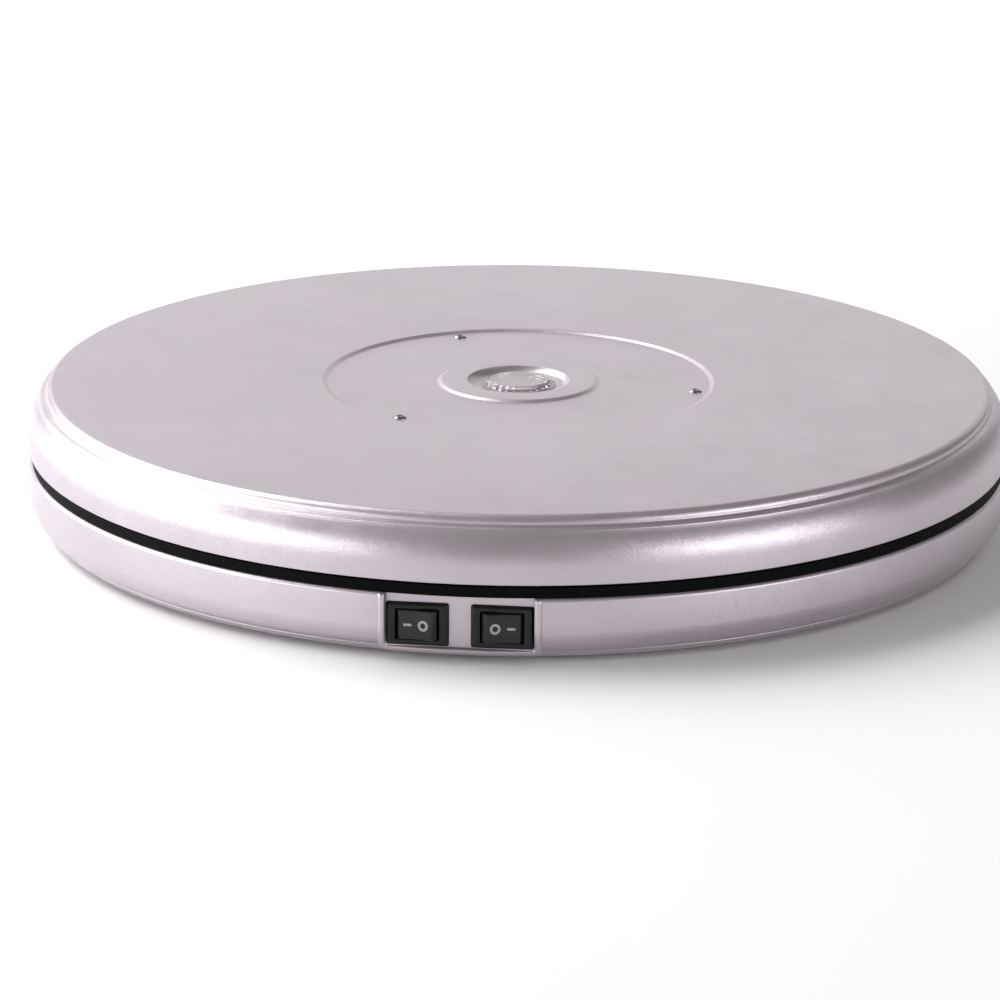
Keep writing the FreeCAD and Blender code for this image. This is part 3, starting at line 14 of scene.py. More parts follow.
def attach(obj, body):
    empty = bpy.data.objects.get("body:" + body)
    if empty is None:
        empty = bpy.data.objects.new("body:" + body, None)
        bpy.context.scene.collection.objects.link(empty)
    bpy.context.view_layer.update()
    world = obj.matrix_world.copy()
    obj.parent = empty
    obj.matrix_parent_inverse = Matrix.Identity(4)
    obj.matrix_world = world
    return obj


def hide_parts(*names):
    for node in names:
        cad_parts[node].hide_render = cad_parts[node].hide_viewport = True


METRES = 0.001
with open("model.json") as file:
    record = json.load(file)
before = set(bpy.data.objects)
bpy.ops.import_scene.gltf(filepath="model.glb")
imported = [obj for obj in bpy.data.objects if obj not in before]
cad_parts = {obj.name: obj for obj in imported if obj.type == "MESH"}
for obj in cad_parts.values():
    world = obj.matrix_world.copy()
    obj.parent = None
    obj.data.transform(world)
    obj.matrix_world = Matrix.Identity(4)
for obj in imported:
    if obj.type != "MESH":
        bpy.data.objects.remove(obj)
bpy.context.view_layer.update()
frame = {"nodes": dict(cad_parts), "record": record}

# base and platter
RADIUS = 175.0
TOP = 50.0
FOOT = 2.0
COVER_TOP = 4.2
DECK = 23.4
BASE_ROUND = 1.2
WALL = 2.6
BULGE_START = 171.1
BULGE = 9.6
STRAIGHT = 12.0
SCREW_CIRCLE = 64.0
FIRST_SCREW = -4.0
RECESS_FLOOR = TOP - 0.9
LENS_HOLE = 12.1
LENS_SEAT = TOP - 2.0
RIB_COUNT = 12
SET_COUNT = 6
POST_CIRCLE = 158.0
FOOT_CIRCLE = 148.0
FIRST_FOOT = 30.0
MOTOR_Y = 90.0
MOTOR_SCREW_X = 29.0
LARGE_RING = 512
SMALL_RING = 32

# switch pocket
PANEL = 171.0
PANEL_BACK = 168.2
POCKET_HALF = 24.8
POCKET_LOW = 4.9
POCKET_CORNER = 1.0
LIP_WIDTH = 2.5
LIP_RISE = 1.2
LIP_FOOT = 171.4
LIP_CREST = 175.9
SWITCH_X = 14.1
SWITCH_Z = 12.8
BEZEL_FACE = PANEL + 1.5
PIVOT_DEPTH = 1.8
TILT = 9.0

# mains inlet
INLET_PLANE = 171.4
INLET_FACE = INLET_PLANE + 1.8
INLET_Z = 12.8
INLET_BACK = 168.2
PIN_X = 4.3
PIN_RADIUS = 1.18
PIN_END = INLET_FACE - 2.0

# silver paint
SILVER = (0.52, 0.47, 0.51)
SILVER_ROUGHNESS = 0.38
SILVER_METAL = 0.75

# camera: metres and degrees
CAMERA_AZIMUTH = 6.2
CAMERA_ELEVATION = 16.85
CAMERA_DISTANCE = 1.876
CAMERA_HEIGHT = 0.002
CAMERA_LENS = 187.2
CAMERA_PAN = 0.19
CAMERA_TILT = 0.08
CAMERA_ROLL = -0.53


# ---------------------------------------------------------------- shaping


def arc(start, end, radius, step=6.0):
    """Points between start and end on an arc; a positive radius bends left."""
    chord = end - start
    left = Vector((-chord.y, chord.x)).normalized()
    rise = math.sqrt(max(radius * radius - chord.length_squared / 4, 0))
    centre = (start + end) / 2 + left * math.copysign(rise, radius)
    first = start - centre
    last = end - centre
    turn = math.atan2(first.x * last.y - first.y * last.x, first.dot(last))
    count = max(2, math.ceil(abs(math.degrees(turn)) / step))
    return [centre + Matrix.Rotation(turn * k / count, 2) @ first for k in range(1, count)]


def outline(points):
    """Dense closed outline of (x, y) points. A third value is the radius of an arc to the next point."""
    dense = []
    for index, point in enumerate(points):
        start = Vector(point[:2])
        end = Vector(points[(index + 1) % len(points)][:2])
        dense.append(start)
        if len(point) == 3:
            dense.extend(arc(start, end, point[2]))
    return dense


def bridge(mesh, ring, following):
    """Skin between two closed rings; either may be a single point."""
    count = max(len(ring), len(following))
    if count == 1:
        return
    for k in range(count):
        corners = [ring[k % len(ring)], ring[(k + 1) % len(ring)]]
        corners += [following[(k + 1) % len(following)], following[k % len(following)]]
        mesh.faces.new(list(dict.fromkeys(corners)))


def lathe(mesh, points, segments, centre=(0.0, 0.0)):
    """Revolve a closed (radius, height) outline about an upright line."""
    rings = []
    for radius, height in outline(points):
        if radius < 1e-6:
            rings.append([mesh.verts.new((*centre, height))])
            continue
        ring = []
        for k in range(segments):
            turn = 2 * math.pi * k / segments
            x = centre[0] + radius * math.cos(turn)
            y = centre[1] + radius * math.sin(turn)
            ring.append(mesh.verts.new((x, y, height)))
        rings.append(ring)
    for ring, following in zip(rings, rings[1:] + rings[:1]):
        bridge(mesh, ring, following)


def loft(mesh, loops):
    """Solid skinned through loops of equal length, flat at both ends."""
    rings = [[mesh.verts.new(point) for point in loop] for loop in loops]
    for ring, following in zip(rings, rings[1:]):
        bridge(mesh, ring, following)
    mesh.faces.new(rings[0])
    mesh.faces.new(rings[-1])


def rounded_rectangle(width, height, corner, steps=5):
    """Points of a rectangle with rounded corners about the origin."""
    corner = min(corner, width / 2 - 1e-4, height / 2 - 1e-4)
    points = []
    for quarter in range(4):
        centre = Vector((width / 2 - corner, height / 2 - corner))
        centre.x *= (1, -1, -1, 1)[quarter]
        centre.y *= (1, 1, -1, -1)[quarter]
        for k in range(steps + 1):
            angle = math.pi / 2 * (quarter + k / steps)
            points.append(centre + corner * Vector((math.cos(angle), math.sin(angle))))
    return points


def facing(points, depth, x=0.0, z=0.0):
    """Loop of flat points standing in XZ at a depth along Y."""
    return [(x + p.x, depth, z + p.y) for p in points]


def block(mesh, x, y, z):
    """Box between (low, high) bounds."""
    size = Vector((x[1] - x[0], y[1] - y[0], z[1] - z[0]))
    middle = Vector((x[0] + x[1], y[0] + y[1], z[0] + z[1])) / 2
    place = Matrix.Translation(middle) @ Matrix.Diagonal(size).to_4x4()
    bmesh.ops.create_cube(mesh, size=1.0, matrix=place)


def on_circle(radius, first, count):
    """Places on a circle, counted from an angle in degrees."""
    turns = [math.radians(first + 360 * k / count) for k in range(count)]
    return [(radius * math.cos(t), radius * math.sin(t)) for t in turns]


def shaped(name, mesh, sharp=32.0):
    """Object from a mesh in millimetres, smooth where its faces meet gently."""
    bmesh.ops.scale(mesh, vec=(METRES,) * 3, verts=mesh.verts)
    bmesh.ops.recalc_face_normals(mesh, faces=mesh.faces)
    data = bpy.data.meshes.new(name)
    mesh.to_mesh(data)
    mesh.free()
    shape = bpy.data.objects.new(name, data)
    bpy.context.scene.collection.objects.link(shape)
    smooth(shape, sharp)
    return shape


def smooth(shape, sharp=32.0):
    shape.data.shade_smooth()
    shape.data.set_sharp_from_angle(angle=math.radians(sharp))


def settle(shape, sharp=32.0):
    """Turn an object's modifiers into its mesh."""
    graph = bpy.context.evaluated_depsgraph_get()
    data = bpy.data.meshes.new_from_object(shape.evaluated_get(graph))
    shape.modifiers.clear()
    shape.data = data
    smooth(shape, sharp)


def combine(shape, tool, operation):
    """Cut a tool from a shape or add it, and remove the tool."""
    modifier = shape.modifiers.new("combine", "BOOLEAN")
    modifier.object = tool
    modifier.operation = operation
    modifier.solver = "EXACT"
    settle(shape)
    bpy.data.objects.remove(tool)


def soften(shape, width, segments):
    """Round an object's edges."""
    modifier = shape.modifiers.new("soften", "BEVEL")
    modifier.width = width * METRES
    modifier.segments = segments
    modifier.angle_limit = math.radians(30)
    settle(shape)


def join(shape, *others):
    """Bring other objects' meshes into one object."""
    mesh = bmesh.new()
    for item in (shape, *others):
        item.data.transform(item.matrix_world)
        mesh.from_mesh(item.data)
    for item in others:
        bpy.data.objects.remove(item)
    shape.matrix_world = Matrix.Identity(4)
    mesh.to_mesh(shape.data)
    mesh.free()
    smooth(shape)


# ---------------------------------------------------------------- finishes


class Finish:
    """Node material that is built up step by step."""

    def __init__(self, name, roughness, metallic=0.0):
        self.material = bpy.data.materials.new(name)
        self.material.use_nodes = True
        self.tree = self.material.node_tree
        self.shader = self.tree.nodes["Principled BSDF"]
        self.shader.inputs["Roughness"].default_value = roughness
        self.shader.inputs["Metallic"].default_value = metallic
        self.place = self.tree.nodes.new("ShaderNodeTexCoord").outputs["Object"]

    def node(self, kind, **values):
        made = self.tree.nodes.new(kind)
        for name, number in values.items():
            made.inputs[name].default_value = number
        return made

    def link(self, start, end):
        self.tree.links.new(start, end)

    def noise(self, scale, detail=3.0, stretch=(1, 1, 1)):
        spread = self.node("ShaderNodeMapping", Scale=stretch)
        grain = self.node("ShaderNodeTexNoise", Scale=scale, Detail=detail)
        self.link(self.place, spread.inputs["Vector"])
        self.link(spread.outputs["Vector"], grain.inputs["Vector"])
        return grain.outputs["Fac"]

    def between(self, source, low, high, span=(0.3, 0.7)):
        """Spread a source over a range of numbers."""
        spread = self.node("ShaderNodeMapRange")
        for name, number in zip(("From Min", "From Max", "To Min", "To Max"), (*span, low, high)):
            spread.inputs[name].default_value = number
        self.link(source, spread.inputs["Value"])
        return spread.outputs["Result"]

    def tone(self, source, low, high, span=(0.3, 0.7)):
        """Colour that drifts between two tones."""
        ramp = self.node("ShaderNodeValToRGB")
        for element, place, colour in zip(ramp.color_ramp.elements, span, (low, high)):
            element.position = place
            element.color = (*colour, 1)
        self.link(source, ramp.inputs["Fac"])
        self.link(ramp.outputs["Color"], self.shader.inputs["Base Color"])

    def rough(self, source, low, high):
        self.link(self.between(source, low, high), self.shader.inputs["Roughness"])

    def relief(self, source, height):
        """Bump of a height in millimetres."""
        bump = self.node("ShaderNodeBump", Strength=1.0, Distance=height * METRES)
        self.link(source, bump.inputs["Height"])
        self.link(bump.outputs["Normal"], self.shader.inputs["Normal"])

    def flakes(self, scale, tilt):
        """Lean the surface a little, cell by cell, as metal flakes lie in paint."""
        cells = self.node("ShaderNodeTexVoronoi", Scale=scale)
        lean = self.node("ShaderNodeVectorMath")
        lean.operation = "MULTIPLY_ADD"
        lean.inputs[1].default_value = (tilt,) * 3
        lean.inputs[2].default_value = (-tilt / 2,) * 3
        add = self.node("ShaderNodeVectorMath")
        add.operation = "ADD"
        unit = self.node("ShaderNodeVectorMath")
        unit.operation = "NORMALIZE"
        surface = self.node("ShaderNodeNewGeometry").outputs["Normal"]
        self.link(self.place, cells.inputs["Vector"])
        self.link(cells.outputs["Color"], lean.inputs[0])
        self.link(lean.outputs["Vector"], add.inputs[0])
        self.link(surface, add.inputs[1])
        self.link(add.outputs["Vector"], unit.inputs[0])
        self.link(unit.outputs["Vector"], self.shader.inputs["Normal"])


def scaled(colour, factor):
    return tuple(min(channel * factor, 1.0) for channel in colour)


def silver(name):
    """Silver paint: flakes, slow drift of tone and a little unevenness of gloss."""
    finish = Finish(name, SILVER_ROUGHNESS, SILVER_METAL)
    finish.flakes(2200.0, 0.07)
    finish.tone(finish.noise(28.0), scaled(SILVER, 0.97), scaled(SILVER, 1.03))
    finish.rough(finish.noise(90.0), SILVER_ROUGHNESS - 0.03, SILVER_ROUGHNESS + 0.03)
    return finish


def moulded(name, colour, roughness, grain=0.02, scale=2600.0, shine=0.5):
    """Moulded plastic with a fine texture."""
    finish = Finish(name, roughness)
    finish.shader.inputs["Specular IOR Level"].default_value = shine
    finish.tone(finish.noise(60.0), scaled(colour, 0.85), scaled(colour, 1.2))
    finish.rough(finish.noise(400.0), roughness - 0.05, roughness + 0.06)
    finish.relief(finish.noise(scale, 2.0), grain)
    return finish


def metal(name, colour, roughness, stretch=(1, 1, 1), grain=0.004):
    """Plated or bare metal with fine working marks."""
    finish = Finish(name, roughness, 1.0)
    marks = finish.noise(700.0, 4.0, stretch)
    finish.tone(finish.noise(50.0), scaled(colour, 0.9), scaled(colour, 1.06))
    finish.rough(marks, roughness - 0.06, roughness + 0.08)
    finish.relief(marks, grain)
    return finish


def clear(name):
    """Clear moulded lens with faint flow lines."""
    finish = Finish(name, 0.03)
    finish.shader.inputs["Transmission Weight"].default_value = 0.75
    finish.shader.inputs["IOR"].default_value = 1.49
    finish.tone(finish.noise(120.0), (0.74, 0.67, 0.72), (0.82, 0.75, 0.80))
    finish.rough(finish.noise(300.0), 0.01, 0.05)
    finish.relief(finish.noise(220.0, 1.0), 0.02)
    return finish


def printed(name):
    """White printing on the rockers, slightly worn."""
    finish = Finish(name, 0.5)
    finish.tone(finish.noise(1800.0), (0.24, 0.24, 0.24), (0.36, 0.36, 0.36))
    return finish


def make_finishes():
    finishes = {
        "silver_platter": silver("silver_platter"),
        "silver_base": silver("silver_base"),
        # Near-black and almost without shine: the seal ring's own black, pushed darker to act as painted
        # shade for the gap between platter and base
        "black_ring": moulded("black_ring", (0.002, 0.002, 0.0025), 0.6, 0.01, shine=0.05),
        "switch_black": moulded("switch_black", (0.009, 0.008, 0.009), 0.42, 0.02, shine=0.3),
        "rocker_black": moulded("rocker_black", (0.01, 0.009, 0.01), 0.32, 0.005, shine=0.4),
        "clear_lens": clear("clear_lens"),
        "rubber": moulded("rubber", (0.02, 0.02, 0.02), 0.75, 0.05, 900.0),
        "white_plastic": moulded("white_plastic", (0.75, 0.75, 0.72), 0.4),
        "steel": metal("steel", (0.62, 0.61, 0.6), 0.34, stretch=(1, 1, 12)),
        "bright_steel": metal("bright_steel", (0.36, 0.35, 0.37), 0.16),
        "brass": metal("brass", (0.78, 0.6, 0.3), 0.28),
        "board": moulded("board", (0.04, 0.2, 0.09), 0.35, 0.01),
        "lamp": moulded("lamp", (0.8, 0.7, 0.3), 0.25, 0.005),
        "reflector_chrome": metal("reflector_chrome", (0.85, 0.85, 0.86), 0.1, grain=0.002),
        "coil_copper": metal("coil_copper", (0.72, 0.36, 0.18), 0.35, (1, 1, 30), 0.05),
        "lead_black": moulded("lead_black", (0.015, 0.015, 0.015), 0.5, 0.01),
        "lead_red": moulded("lead_red", (0.5, 0.02, 0.02), 0.45, 0.01),
        "printed": printed("printed"),
    }
    return {name: finish.material for name, finish in finishes.items()}


FINISHES = make_finishes()


def piece(shape, body, slot, *nodes):
    """Give a shape its finish and its body, in place of CAD nodes."""
    shape.data.materials.clear()
    shape.data.materials.append(FINISHES[slot])
    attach(shape, body)
    if nodes:
        shape.name = f"{nodes[0]}_visual"
        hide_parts(*nodes)
    return shape


# ---------------------------------------------------------------- platter


def make_platter():
    mesh = bmesh.new()
    well = [
        (LENS_HOLE, 47.0),
        (LENS_HOLE, LENS_SEAT),
        (15.6, LENS_SEAT, 3.2),
        (18.2, TOP - 0.12, -0.727),
        (18.6, TOP),
    ]
    recess = [
        (27.1, TOP, -1.506),
        (27.85, TOP - 0.2),
        (28.7, RECESS_FLOOR + 0.2, 1.506),
        (29.45, RECESS_FLOOR),
        (68.05, RECESS_FLOOR, 1.506),
        (68.8, RECESS_FLOOR + 0.2),
        (69.65, TOP - 0.2, -1.506),
        (70.4, TOP),
    ]
    rim = [
        (166.1, TOP, -2.65),
        (168.7, 47.3, 0.9),
        (169.4, 46.4),
        (170.2, 46.15, -0.9),
        (170.9, 45.4, -18.0),
        (RADIUS, 34.0),
        (RADIUS, 28.4, -0.4),
        (RADIUS - 0.4, 28.0),
    ]
    inside = [
        (172.9, 28.0, -0.3),
        (172.6, 28.3),
        (172.6, 35.5),
        (169.0, 43.2),
        (165.2, 47.0),
        (156.0, 47.0),
        (156.0, 44.5),
        (144.0, 44.5),
        (144.0, 47.0),
    ]
    lathe(mesh, well + recess + rim + inside, LARGE_RING)
    for k in range(RIB_COUNT):
        start = len(mesh.verts)
        block(mesh, (84.0, 145.0), (-1.0, 1.0), (44.5, 47.5))
        mesh.verts.ensure_lookup_table()
        turn = Matrix.Rotation(2 * math.pi * k / RIB_COUNT, 3, "Z")
        bmesh.ops.rotate(mesh, matrix=turn, verts=mesh.verts[start:])
    return piece(shaped("platter", mesh), "turning_platter", "silver_platter", "platter")


def make_lens():
    """Clear window: a smooth flat top on a fluted slope."""
    mesh = bmesh.new()
    # radius, height and depth of the flutes
    levels = [
        (LENS_HOLE, 44.2, 0.0),
        (LENS_HOLE, LENS_SEAT, 0.0),
        (13.4, LENS_SEAT, 0.0),
        (13.4, LENS_SEAT + 0.2, 0.0),
        (11.7, LENS_SEAT + 0.25, 0.0),
        (11.5, LENS_SEAT + 1.1, 0.5),
        (10.8, TOP - 0.2, 0.4),
        (10.3, TOP, 0.0),
    ]
    flutes = 56
    loops = []
    for radius, height, depth in levels:
        loop = []
        for k in range(flutes):
            turn = 2 * math.pi * k / flutes
            reach = radius - depth * (k % 2)
            loop.append((reach * math.cos(turn), reach * math.sin(turn), height))
        loops.append(loop)
    loft(mesh, loops)
    return piece(shaped("lens", mesh, 6.0), "turning_platter", "clear_lens", "lens")


def pan_head(mesh, x, y, low, radius, height):
    """Screw head standing on a level, with softened edges."""
    points = [
        (0.0, low),
        (radius, low),
        (radius, low + height * 0.35, radius * 0.55),
        (radius * 0.62, low + height, 4 * radius),
        (0.0, low + height * 1.04),
    ]
    lathe(mesh, points, 40, (x, y))


def cut_crosses(screws, places, low, high, reach):
    """Cut a tapered cross for a screwdriver into each screw head, one bar at a time."""
    for wide, long in ((0.32, 1.0), (1.0, 0.32)):
        bars = bmesh.new()
        for x, y in places:
            loops = []
            for level, size in ((low, 0.62), (high, 1.0)):
                half_x = reach * size * wide
                half_y = reach * size * long
                corners = ((-half_x, -half_y), (half_x, -half_y), (half_x, half_y), (-half_x, half_y))
                loops.append([(x + dx, y + dy, level) for dx, dy in corners])
            loft(bars, loops)
        combine(screws, shaped("bars", bars), "DIFFERENCE")


def make_platter_screws():
    heads = bmesh.new()
    shanks = bmesh.new()
    places = on_circle(SCREW_CIRCLE, FIRST_SCREW, 3)
    shank = [(0.0, 39.0), (1.5, 39.0), (1.5, RECESS_FLOOR + 0.1), (0.0, RECESS_FLOOR + 0.1)]
    for place in places:
        pan_head(heads, *place, RECESS_FLOOR, 2.3, 0.77)
        lathe(shanks, shank, SMALL_RING, place)
    screws = shaped("platter_screws", heads)
    cut_crosses(screws, places, RECESS_FLOOR + 0.15, TOP + 0.2, 1.35)
    join(screws, shaped("screw_shanks", shanks))
    return piece(screws, "turning_platter", "bright_steel", "platter_screws")


# ---------------------------------------------------------------- base


def make_base_shell():
    mesh = bmesh.new()
    under = DECK - 2.5
    lathe(
        mesh,
        [
            (BULGE_START, COVER_TOP + 0.25, BULGE),
            (RADIUS, STRAIGHT),
            (RADIUS, DECK - BASE_ROUND, BASE_ROUND),
            (RADIUS - BASE_ROUND, DECK),
            (8.0, DECK),
            (8.0, under),
            (RADIUS - WALL, under),
            (RADIUS - WALL, STRAIGHT, 0.6 - BULGE),
            (BULGE_START - WALL, COVER_TOP),
            (BULGE_START - 0.3, COVER_TOP),
        ],
        LARGE_RING,
    )
    shell = shaped("base_shell", mesh)
    plates = bmesh.new()
    block(plates, (-27.2, 27.2), (-PANEL, -PANEL_BACK), (POCKET_LOW, DECK))
    block(plates, (-17.5, 17.5), (INLET_BACK, INLET_PLANE), (COVER_TOP, DECK))
    combine(shell, shaped("plates", plates), "UNION")
    cutters = bmesh.new()
    slot = rounded_rectangle(2 * POCKET_HALF, 2 * (DECK + 1 - POCKET_LOW), POCKET_CORNER)
    loft(cutters, [facing(slot, depth, z=DECK + 1) for depth in (-PANEL, -PANEL - 8)])
    block(cutters, (-13.9, 13.9), (INLET_PLANE, INLET_PLANE + 8), (5.4, 20.2))
    combine(shell, shaped("cutters", cutters), "DIFFERENCE")
    holes = bmesh.new()
    block(holes, (-11.1, 11.1), (167.0, INLET_PLANE + 1), (7.0, 18.6))
    for x in (-SWITCH_X, SWITCH_X):
        block(holes, (x - 9.5, x + 9.5), (-PANEL - 1, -PANEL_BACK + 1), (6.4, 19.2))
    lathe(holes, [(0.0, 19.0), (5.5, 19.0), (5.5, 25.0), (0.0, 25.0)], 48, (0.0, MOTOR_Y))
    combine(shell, shaped("holes", holes), "DIFFERENCE")
    posts = bmesh.new()
    post = [(1.3, COVER_TOP), (4.5, COVER_TOP), (4.5, under + 0.2), (1.3, under + 0.2)]
    for place in on_circle(POST_CIRCLE, 0.0, SET_COUNT):
        lathe(posts, post, SMALL_RING, place)
    motor_post = [(1.5, DECK - 0.2), (4.5, DECK - 0.2), (4.5, 27.0), (1.5, 27.0)]
    for x in (-MOTOR_SCREW_X, MOTOR_SCREW_X):
        lathe(posts, motor_post, SMALL_RING, (x, MOTOR_Y))
    join(shell, shaped("posts", posts), make_lip())
    return piece(shell, "base", "silver_base", "base_shell")


def lip_path():
    """Inside edge of the lip with its outward directions, from the top left round to the top right."""
    side_top = DECK - BASE_ROUND - 0.2
    side_low = POCKET_LOW + POCKET_CORNER
    heights = [DECK - BASE_ROUND * (1 - math.cos(math.pi / 2 * k / 6)) for k in range(7)]
    heights += [side_top - (side_top - side_low) * k / 12 for k in range(13)]
    path = [(Vector((-POCKET_HALF, z)), Vector((-1, 0))) for z in heights]
    centre = Vector((-POCKET_HALF + POCKET_CORNER, POCKET_LOW + POCKET_CORNER))
    for k in range(1, 9):
        angle = math.pi + math.pi / 2 * k / 8
        out = Vector((math.cos(angle), math.sin(angle)))
        path.append((centre + POCKET_CORNER * out, out))
    reach = POCKET_HALF - POCKET_CORNER
    path += [(Vector((-reach + reach * k / 24, POCKET_LOW)), Vector((0, -1))) for k in range(1, 25)]
    mirrored = [(Vector((-p.x, p.y)), Vector((-out.x, out.y))) for p, out in reversed(path[:-1])]
    return path + mirrored


def lip_crest(z):
    """How far out the lip's highest line stands at a height."""
    share = min(max((z - FOOT) / (STRAIGHT - FOOT), 0.0), 1.0)
    slope = LIP_FOOT + (LIP_CREST - LIP_FOOT) * math.sin(math.pi / 2 * share)
    over_top = max(z - DECK + BASE_ROUND, 0.0)
    return slope - BASE_ROUND + math.sqrt(max(BASE_ROUND**2 - over_top**2, 0))


def make_lip():
    """Rounded lip round the switch pocket. Its section holds (distance across, drop below the crest)."""
    half_turn = [math.pi * k / 16 for k in range(17)]
    section = [(0.0, None)]
    section += [(LIP_WIDTH / 2 * (1 - math.cos(t)), LIP_RISE * (1 - math.sin(t))) for t in half_turn]
    section += [(LIP_WIDTH, None)]
    mesh = bmesh.new()
    loops = []
    for inner, out in lip_path():
        loop = []
        for across, drop in section:
            at = inner + out * across
            buried = drop is None
            radius = 169.4 if buried else max(lip_crest(at.y) - drop, 169.6)
            loop.append((at.x, -math.sqrt(radius**2 - at.x**2), at.y))
        loops.append(loop)
    loft(mesh, loops)
    return shaped("lip", mesh, 50.0)


def make_bottom_cover():
    mesh = bmesh.new()
    lathe(
        mesh,
        [
            (0.0, FOOT),
            (168.9, FOOT, 0.6),
            (169.4, FOOT + 0.3),
            (170.6, COVER_TOP - 0.25, 0.3),
            (170.5, COVER_TOP - 0.05),
            (168.1, COVER_TOP - 0.05),
            (168.1, COVER_TOP + 1.5),
            (166.1, COVER_TOP + 1.5),
            (166.1, COVER_TOP),
            (0.0, COVER_TOP),
        ],
        LARGE_RING,
    )
    cover = shaped("bottom_cover", mesh)
    cutters = bmesh.new()
    block(cutters, (-27.5, 27.5), (-180.0, -167.8), (0.0, DECK))
    block(cutters, (-17.8, 17.8), (165.2, 171.2), (COVER_TOP, DECK))
    hole = [(0.0, 0.0), (3.0, 0.0), (3.0, 3.0), (1.7, 3.0), (1.7, 8.0), (0.0, 8.0)]
    for place in on_circle(POST_CIRCLE, 0.0, SET_COUNT):
        lathe(cutters, hole, SMALL_RING, place)
    combine(cover, shaped("cutters", cutters), "DIFFERENCE")
    return piece(cover, "base", "silver_base", "bottom_cover")


def make_feet():
    mesh = bmesh.new()
    points = [(0.0, 0.25), (5.0, 0.25), (5.4, 0.0), (8.2, 0.0, 0.8), (9.0, 0.8), (9.0, 2.8), (0.0, 2.8)]
    for place in on_circle(FOOT_CIRCLE, FIRST_FOOT, SET_COUNT):
        lathe(mesh, points, 64, place)
    return piece(shaped("rubber_feet", mesh), "base", "rubber", "rubber_feet")


def make_cover_screws():
    mesh = bmesh.new()
    places = on_circle(POST_CIRCLE, 0.0, SET_COUNT)
    points = [(0.0, 2.1), (1.9, 2.1, 1.0), (2.7, 2.5), (2.7, 3.0), (1.3, 3.0), (1.3, 12.2), (0.0, 12.2)]
    for place in places:
        lathe(mesh, points, SMALL_RING, place)
    screws = shaped("cover_screws", mesh)
    cut_crosses(screws, places, 2.9, 1.9, 1.4)
    return piece(screws, "base", "steel", "cover_screws")


# Black seal ring in the gap under the platter's skirt. Its near-black, almost shineless finish is the
# ring's own colour and also painted shade for that gap.
def make_dust_ring():
    mesh = bmesh.new()
    lathe(
        mesh,
        [
            (166.0, DECK),
            (173.7, DECK, 0.2),
            (173.9, DECK + 0.2),
            (173.9, 26.9, 0.3),
            (173.6, 27.2),
            (171.6, 27.2),
            (171.6, 31.7, 0.3),
            (171.3, 32.0),
            (170.3, 32.0, 0.3),
            (170.0, 31.7),
            (170.0, 25.0),
            (166.0, 25.0),
        ],
        LARGE_RING,
    )
    return piece(shaped("dust_ring", mesh), "base", "black_ring", "dust_ring")


# ---------------------------------------------------------------- switches and inlet


def make_housing(side, x):
    """Bezel with a bevelled edge, the opening for the rocker and the body behind the panel."""
    steps = [
        (14.6, 10.6, 0.2, -BEZEL_FACE + 10.0),
        (14.6, 10.6, 0.2, -BEZEL_FACE + 0.25),
        (14.75, 10.75, 0.25, -BEZEL_FACE + 0.08),
        (15.1, 11.1, 0.3, -BEZEL_FACE),
        (19.0, 12.8, 0.5, -BEZEL_FACE),
        (19.5, 13.3, 0.6, -BEZEL_FACE + 0.08),
        (20.6, 14.4, 0.8, -BEZEL_FACE + 0.75),
        (20.9, 14.7, 0.85, -BEZEL_FACE + 1.0),
        (21.0, 14.8, 0.9, -BEZEL_FACE + 1.2),
        (21.0, 14.8, 0.9, -PANEL),
        (18.8, 12.6, 0.3, -PANEL),
        (18.8, 12.6, 0.3, -PANEL + 12.4),
    ]
    mesh = bmesh.new()
    loft(mesh, [facing(rounded_rectangle(w, h, c), depth, x, SWITCH_Z) for w, h, c, depth in steps])
    housing = shaped(f"switch_housing_{side}", mesh, 25.0)
    return piece(housing, "base", "switch_black", f"switch_housing_{side}")


def on_face(along, up, raised=0.0):
    """Point on the rocker's V-shaped face; along runs from its outer end to its inner end."""
    slope = (1.3 - 0.7) / 5.6
    return Vector((along, -PIVOT_DEPTH - 0.7 - slope * abs(along) - raised, up))


def mark(mesh, inner, outer):
    """Thin raised mark between two loops of (along, up) points, or inside one loop."""
    low = [mesh.verts.new(on_face(a, u, -0.02)) for a, u in outer]
    high = [mesh.verts.new(on_face(a, u, 0.03)) for a, u in outer]
    bridge(mesh, low, high)
    if inner is None:
        mesh.faces.new(low)
        mesh.faces.new(high)
        return
    inner_low = [mesh.verts.new(on_face(a, u, -0.02)) for a, u in inner]
    inner_high = [mesh.verts.new(on_face(a, u, 0.03)) for a, u in inner]
    bridge(mesh, high, inner_high)
    bridge(mesh, inner_high, inner_low)
    bridge(mesh, inner_low, low)


